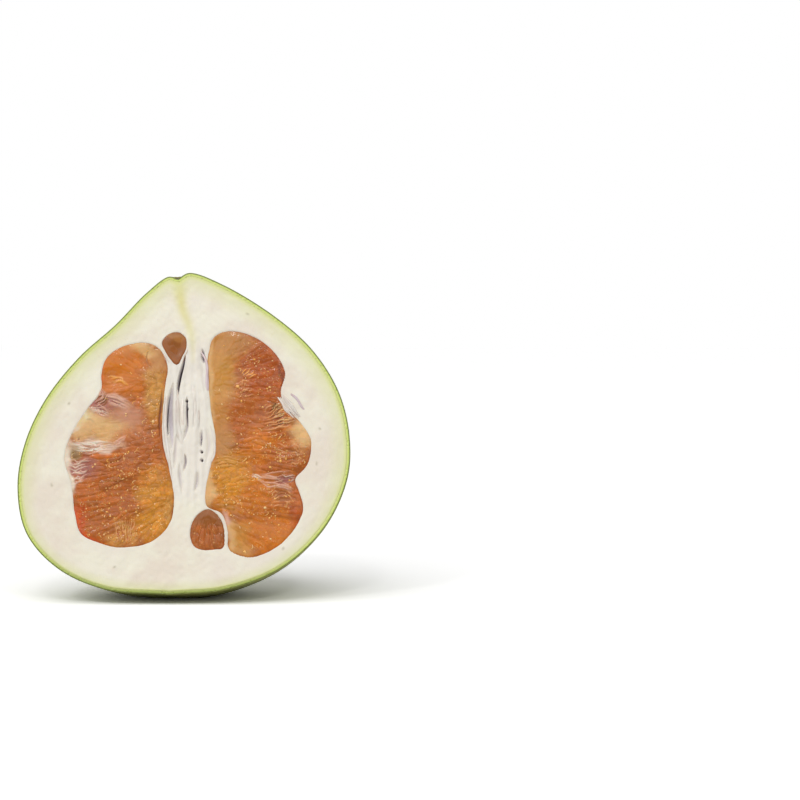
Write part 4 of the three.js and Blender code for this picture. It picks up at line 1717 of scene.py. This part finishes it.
class RindFinish(Finish):
    """Waxy yellow-green skin with oil-gland pores, a cut edge that runs from olive to lemon, and painted
    shade at the foot.
    """

    def material(self, groups: Groups) -> Material:
        """Builds the material.

        The skin is a slow mottle of two greens with paler patches, oil glands and scuffs, and brown round
        the stem scar. Where the depth under the skin is over zero, the cut edge takes over. Painted shade
        then darkens the lowest 34 mm of the piece towards dark olive, where the fruit rests on the floor.

        Args:
            groups: the shared shader groups.

        Returns:
            The material.
        """
        recipe, shader, material = self.start()
        place = recipe.object_space()
        greens = recipe.group(groups.mottle, {
            "Place": place, "Scale": 26.0,
            "Low": Shade.SKIN_GREEN.colour(), "High": Shade.SKIN_YELLOW.colour(),
        })
        glands = recipe.add("ShaderNodeTexVoronoi", {"Vector": place, "Scale": 620.0}).outputs["Distance"]
        skin = recipe.layered(
            greens.outputs[0],
            (recipe.fade(recipe.noise(place, 11, 2), 0.5, 0.72, 0, 0.6), Shade.SKIN_PALE),
            (recipe.fade(glands, 0.1, 0.55, 0.32, 0), Shade.OIL_GLAND),
            (recipe.fade(recipe.noise(place, 75, 6, 0.7), 0.62, 0.72, 0, 0.4), Shade.SCUFF),
            (recipe.fade(recipe.value("stem"), 0.35, 0.95), Shade.STEM_SCAR),
        )
        deep = recipe.value("deep")
        olive_to_green = recipe.fade(deep, 0.35, 0.75)
        edge = recipe.blend(olive_to_green, Shade.CUT_OLIVE.colour(), Shade.CUT_GREEN.colour())
        edge = recipe.layered(edge, (recipe.fade(deep, 0.8, 1.6), Shade.CUT_LEMON))
        colour = recipe.blend(recipe.fade(deep, 0.02, 0.2), skin, edge)
        # Painted shade: the skin darkens towards dark olive in the lowest 34 mm, where the fruit rests.
        height = recipe.add("ShaderNodeSeparateXYZ", {"Vector": place}).outputs["Z"]
        low = recipe.fade(recipe.maths("MULTIPLY", height, 1000.0), 3.0, 34.0, 0.6, 0)
        colour = recipe.layered(colour, (low, Shade.FOOT_PAINTED_SHADE))
        recipe.link(colour, shader, "Base Color")
        pore = recipe.add("ShaderNodeBump", {
            "Strength": 0.55, "Distance": 0.0005, "Height": recipe.fade(glands, 0.0, 0.5),
        })
        grain = recipe.group(groups.grain, {
            "Place": place, "Scale": 240.0, "Strength": 0.25, "Normal": pore.outputs["Normal"],
        })
        recipe.link(grain.outputs[0], shader, "Normal")
        return material


class PithFinish(Finish):
    """Matt, spongy, creamy white flesh, lemon-green under the rind, with painted grey shade in the core's
    splits.
    """

    def material(self, groups: Groups) -> Material:
        """Builds the material.

        A slow mottle of two creams takes, in turn, a faint blush, the core's whiter tone, the yellow streak
        under the stem, the green of the edge by its distance in millimetres, painted shade that turns the
        hollows grey-lilac and then near black by their depth, and specks.

        Args:
            groups: the shared shader groups.

        Returns:
            The material.
        """
        recipe, shader, material = self.start()
        place = recipe.object_space()
        creams = recipe.group(groups.mottle, {
            "Place": place, "Scale": 38.0,
            "Low": Shade.FLESH.colour(), "High": Shade.FLESH_PALE.colour(),
        })
        edge = recipe.value("edge")
        hollow = recipe.value("hollow")
        wander = recipe.maths("MULTIPLY_ADD", recipe.noise(place, 60, 4), 3.0, -1.5)
        freckles = recipe.group(groups.specks, {
            "Place": place, "Scale": 90.0, "Size": 0.035, "Rarity": 0.86,
        })
        faint = recipe.maths("MULTIPLY", freckles.outputs[0], 0.6)
        spots = recipe.maths("MAXIMUM", recipe.value("speck"), faint)
        flesh = recipe.layered(
            creams.outputs[0],
            (recipe.fade(recipe.noise(place, 24, 2), 0.5, 0.68, 0, 0.3), Shade.FLESH_BLUSH),
            (recipe.fade(recipe.value("core"), 0, 1, 0, 0.75), Shade.CORE),
            (recipe.value("streak"), Shade.STREAK),
            (recipe.fade(recipe.maths("ADD", edge, wander), 0, 11, 0.7, 0), Shade.GREENISH),
            (recipe.fade(edge, 0.0, 2.2, 1, 0), Shade.EDGE_GREEN),
            # Painted shade and shadow: hollows turn grey-lilac with depth, the deepest splits near black.
            (recipe.fade(hollow, 0.3, 2.2, 0, 0.75), Shade.HOLLOW),
            (recipe.fade(hollow, 2.5, 3.8, 0, 0.9), Shade.SPLIT),
            (recipe.maths("MULTIPLY", spots, 0.5), Shade.FRECKLE),
        )
        recipe.link(flesh, shader, "Base Color")
        sponge = recipe.group(groups.grain, {"Place": place, "Scale": 420.0, "Strength": 0.3})
        pores = recipe.group(groups.grain, {
            "Place": place, "Scale": 1500.0, "Strength": 0.22, "Normal": sponge.outputs[0],
        })
        recipe.link(pores.outputs[0], shader, "Normal")
        return material


class PulpFinish(Finish):
    """Wet, translucent pulp: the piece's own colours, streaks along the sacs and small painted glints."""

    def material(self, groups: Groups) -> Material:
        """Builds the material.

        Fine noise clouds the piece's own colours. Streaks come from noise over the sac's own across value
        and number. Painted highlights are rare specks and short arcs of the walls of a fine cell pattern, in
        pale gold.

        Args:
            groups: the shared shader groups.

        Returns:
            The material.
        """
        recipe, shader, material = self.start()
        place = recipe.object_space()
        colour = recipe.tint("tone")
        bare = recipe.fade(recipe.value("cover"), 0.1, 0.9, 1, 0)
        cloud = recipe.fade(recipe.noise(place, 420, 3, 0.6), 0.35, 0.65, -0.15, 0.13)
        cloud = recipe.maths("MULTIPLY_ADD", cloud, recipe.maths("MULTIPLY_ADD", bare, 0.75, 0.25), 1.0)
        cloudy = recipe.add("ShaderNodeCombineColor", {0: cloud, 1: cloud, 2: cloud}).outputs[0]
        colour = recipe.blend(1.0, colour, cloudy, "MULTIPLY")
        thread = recipe.maths("MULTIPLY", recipe.value("across"), 3.1)
        own = recipe.maths("MULTIPLY", recipe.value("sac"), 40.0)
        slow = recipe.maths("MULTIPLY", thread, 0.2)
        along = recipe.add("ShaderNodeCombineXYZ", {0: thread, 1: own, 2: slow})
        lines = recipe.fade(recipe.noise(along.outputs[0], 1.0, 3, 0.6), 0.52, 0.74, 0, 0.18)
        lines = recipe.maths("MULTIPLY", lines, bare)
        colour = recipe.blend(lines, colour, Shade.SAC_THREAD.colour())
        inside = recipe.fade(recipe.value("inside"), 0.6, 2.4)
        wanted = recipe.fade(recipe.noise(place, 45, 2), 0.42, 0.6, 0.15, 1)
        # Painted highlights: pale gold specks and broken arcs of cell walls on the bare pulp; they also
        # raise the bump.
        glint_dots = recipe.group(groups.specks, {"Place": place, "Scale": 760.0, "Size": 0.26, "Rarity": 0.7})
        fine_cells = {"Vector": place, "Scale": 520.0}
        cells = recipe.add("ShaderNodeTexVoronoi", fine_cells, feature="DISTANCE_TO_EDGE")
        arcs = recipe.fade(cells.outputs["Distance"], 0.0, 0.09, 1, 0)
        broken = recipe.fade(recipe.noise(place, 420, 2), 0.55, 0.6)
        arcs = recipe.maths("MULTIPLY", arcs, broken)
        glints = recipe.maths("MULTIPLY", recipe.maths("MAXIMUM", glint_dots.outputs[0], arcs), inside)
        glints = recipe.maths("MULTIPLY", recipe.maths("MULTIPLY", glints, wanted), bare)
        colour = recipe.blend(recipe.maths("MULTIPLY", glints, 0.6), colour, Shade.SAC_GLINT.colour())
        recipe.link(colour, shader, "Base Color")
        wavy = recipe.group(groups.grain, {"Place": place, "Scale": 330.0, "Strength": 0.3})
        raised = recipe.add("ShaderNodeBump", {
            "Strength": 0.8, "Distance": 0.0004, "Height": recipe.maths("ADD", glints, lines),
            "Normal": wavy.outputs[0],
        })
        recipe.link(raised.outputs["Normal"], shader, "Normal")
        recipe.link(raised.outputs["Normal"], shader, "Coat Normal")
        return material


class FibreFinish(Finish):
    """Damp white skins and fibres, from the piece's own colour with a fine grain."""

    def material(self, groups: Groups) -> Material:
        """Builds the material from the piece's own colour, a pinkish mottle and the fine grain.

        Args:
            groups: the shared shader groups.

        Returns:
            The material.
        """
        recipe, shader, material = self.start()
        place = recipe.object_space()
        mottle = recipe.group(groups.mottle, {
            "Place": place, "Scale": 90.0,
            "Low": Shade.FIBRE_PINK.colour(), "High": Shade.FIBRE_WHITE.colour(),
        })
        colour = recipe.blend(1.0, recipe.tint("tone"), mottle.outputs[0], "MULTIPLY")
        recipe.link(colour, shader, "Base Color")
        grain = recipe.group(groups.grain, {"Place": place, "Scale": 700.0, "Strength": 0.4})
        recipe.link(grain.outputs[0], shader, "Normal")
        return material


RIND_FINISH = RindFinish(
    "rind_skin", rough=0.42, coat=0.35, coat_rough=0.22,
    scatter=0.05, scatter_reach=0.002, scatter_tint=(1.0, 0.9, 0.3),
)
PITH_FINISH = PithFinish(
    "pith_flesh", rough=0.72, coat=0.0, coat_rough=0.5,
    scatter=0.18, scatter_reach=0.004, scatter_tint=(1.0, 0.9, 0.7), specular=0.35,
)
PULP_FINISH = PulpFinish(
    "wet_pulp", rough=0.38, coat=0.5, coat_rough=0.08,
    scatter=0.25, scatter_reach=0.0022, scatter_tint=(1.0, 0.35, 0.12), specular=0.2,
)
TIP_FINISH = PulpFinish(
    "smooth_pulp", rough=0.34, coat=0.4, coat_rough=0.1,
    scatter=0.25, scatter_reach=0.0022, scatter_tint=(1.0, 0.4, 0.16), specular=0.2,
)
FIBRE_FINISH = FibreFinish(
    "damp_fibre", rough=0.45, coat=0.3, coat_rough=0.15,
    scatter=0.25, scatter_reach=0.0025, scatter_tint=(1.0, 0.8, 0.7), specular=0.45,
)
GLINT_FINISH = FibreFinish(
    "juice_glint", rough=0.3, coat=0.3, coat_rough=0.08,
    scatter=0.2, scatter_reach=0.001, scatter_tint=(1.0, 0.6, 0.3), specular=0.3,
)


class HalfPomelo:
    """Builds every piece of the fruit and hides the imported parts that the pieces replace."""

    def __init__(self) -> None:
        """Loads what the pieces share: the skin, its standing and the shader groups."""
        self.skin = Skin()
        self.standing = Standing.from_frame(self.skin, *map(np.array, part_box("rind")))
        self.groups = Groups()
        self.materials: dict[str, Material] = {}

    def _finish(self, piece: Object, finish: Finish) -> None:
        """Gives the piece its material, which is made on first use.

        Args:
            piece: the piece's object.
            finish: its finish.
        """
        if finish.name not in self.materials:
            self.materials[finish.name] = finish.material(self.groups)
        piece.data.materials.append(self.materials[finish.name])

    def add(
        self, name: str, surface: Surface, finish: Finish, tissue: Tissue, floor: float = 0.0
    ) -> Object:
        """Builds one piece, welded and finished, that rides on the fruit.

        Args:
            name: the piece's name.
            surface: its shape.
            finish: its finish.
            tissue: the tissue that it stands for; not used.
            floor: the lowest height of its points, in millimetres.

        Returns:
            The object.
        """
        piece = surface.welded().build(name, self.standing, floor)
        self._finish(piece, finish)
        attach(piece, BODY)
        LOG.info("%s: %d points, %d faces", name, len(piece.data.vertices), len(piece.data.polygons))
        return piece

    def build(self) -> None:
        """Builds the rind, the pith with its core, the four cut segments and the fibres."""
        rind = self.add("rind_skin", RindShell(self.skin).surface(), RIND_FINISH, Tissue.RIND)
        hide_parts("rind")
        pith = self.add("pith_flesh", PithBody(self.skin).surface(), PITH_FINISH, Tissue.PITH, 1.9)
        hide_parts("pith")
        for segment in SEGMENTS:
            finish = PULP_FINISH if segment.tissue is Tissue.PULP else TIP_FINISH
            pulp = self.add(segment.name, segment.surface(), finish, segment.tissue)
            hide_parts(segment.node)
        for fibres in (MEMBRANES, TORN_STRANDS, CORE_FIBRES):
            self.add(fibres.name, fibres.surface(), FIBRE_FINISH, Tissue.PITH)
        glints = JuiceGlints()
        self.add(glints.name, glints.surface(), GLINT_FINISH, Tissue.PULP)


@dataclass(frozen=True)
class Studio:
    """The plain white room: floor, world, lights and camera, all sizes in metres."""

    floor_side: float = 12.0
    floor_colour: float = 0.6
    floor_seen: float = 1.32
    world_light: float = 0.4
    world_shine: float = 0.2
    sun_power: float = 1.56
    sun_angle: float = 75.0
    sun_tilt: Point = (44.0, 0.0, -24.0)
    sparkle_places: tuple[Point, ...] = ((-0.5, -0.9, 0.85), (0.4, -1.0, 0.7), (-0.1, -1.1, 1.0))
    sparkle_power: float = 1.2
    sparkle_side: float = 0.12
    sparkle_aim: float = 0.07
    target: Point = (0.09939, 0.0, 0.09185)
    distance: float = 1.014
    elevation: float = 2.5
    lens: float = 96.0

    def floor(self) -> None:
        """Lays the pale floor."""
        half = self.floor_side / 2
        corners = [(-half, -half, 0), (half, -half, 0), (half, half, 0), (-half, half, 0)]
        mesh = bpy.data.meshes.new("floor")
        mesh.from_pydata(corners, [], [(0, 1, 2, 3)])
        floor = bpy.data.objects.new("floor", mesh)
        bpy.context.scene.collection.objects.link(floor)
        material = bpy.data.materials.new("floor")
        material.use_nodes = True
        recipe = Recipe(material.node_tree)
        material.node_tree.nodes.remove(material.node_tree.nodes["Principled BSDF"])
        seen = recipe.add("ShaderNodeLightPath").outputs["Is Camera Ray"]
        grey = recipe.maths("MULTIPLY_ADD", seen, self.floor_seen - self.floor_colour, self.floor_colour)
        colour = recipe.add("ShaderNodeCombineColor", {0: grey, 1: grey, 2: grey}).outputs[0]
        diffuse = recipe.add("ShaderNodeBsdfDiffuse", {"Color": colour})
        recipe.link(diffuse.outputs[0], material.node_tree.nodes["Material Output"], "Surface")
        mesh.materials.append(material)

    def world(self) -> None:
        """Makes a world that lights softly and that the camera sees as white."""
        world = bpy.data.worlds.new("white_room")
        world.use_nodes = True
        recipe = Recipe(world.node_tree)
        background = world.node_tree.nodes["Background"]
        ray = recipe.add("ShaderNodeLightPath")
        shine = recipe.maths("MULTIPLY", ray.outputs["Is Glossy Ray"], self.world_shine - self.world_light)
        seen = recipe.maths("MULTIPLY", ray.outputs["Is Camera Ray"], 1.0 - self.world_light)
        strength = recipe.maths("ADD", self.world_light, recipe.maths("ADD", seen, shine))
        recipe.link(strength, background, "Strength")
        background.inputs["Color"].default_value = (1.0, 1.0, 1.0, 1.0)
        bpy.context.scene.world = world

    def lights(self) -> None:
        """Sets a broad sun from the upper left in front, and small lamps that put glints on wet pulp."""
        scene = bpy.context.scene
        sun = bpy.data.lights.new("key_sun", "SUN")
        sun.energy = self.sun_power
        sun.angle = math.radians(self.sun_angle)
        key = bpy.data.objects.new("key_sun", sun)
        key.rotation_euler = tuple(math.radians(a) for a in self.sun_tilt)
        scene.collection.objects.link(key)
        for number, place in enumerate(self.sparkle_places):
            lamp = bpy.data.lights.new(f"sparkle_lamp_{number}", "AREA")
            lamp.energy = self.sparkle_power
            lamp.size = self.sparkle_side
            sparkle = bpy.data.objects.new(lamp.name, lamp)
            sparkle.location = place
            aim = Vector((0, 0, self.sparkle_aim)) - sparkle.location
            sparkle.rotation_euler = aim.to_track_quat("-Z", "Y").to_euler()
            scene.collection.objects.link(sparkle)

    def camera(self) -> None:
        """Sets the camera in front of the cut face, a little above it."""
        tilt = math.radians(self.elevation)
        lens = bpy.data.cameras.new("camera")
        lens.lens = self.lens
        lens.clip_end = 50
        camera = bpy.data.objects.new("camera", lens)
        x, y, z = self.target
        camera.location = (x, y - self.distance * math.cos(tilt), z + self.distance * math.sin(tilt))
        camera.rotation_euler = (math.pi / 2 - tilt, 0, 0)
        bpy.context.scene.collection.objects.link(camera)
        bpy.context.scene.camera = camera

    def build(self) -> None:
        """Builds the whole room and sets plain colour management."""
        self.floor()
        self.world()
        self.lights()
        self.camera()
        bpy.context.scene.view_settings.view_transform = "Standard"


def main() -> None:
    """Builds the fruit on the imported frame, then the room around it."""
    logging.basicConfig(level=logging.INFO, format="%(name)s: %(message)s")
    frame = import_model()
    LOG.info("frame with nodes %s", sorted(frame["nodes"]))
    HalfPomelo().build()
    Studio().build()


if __name__ == "__main__":
    main()
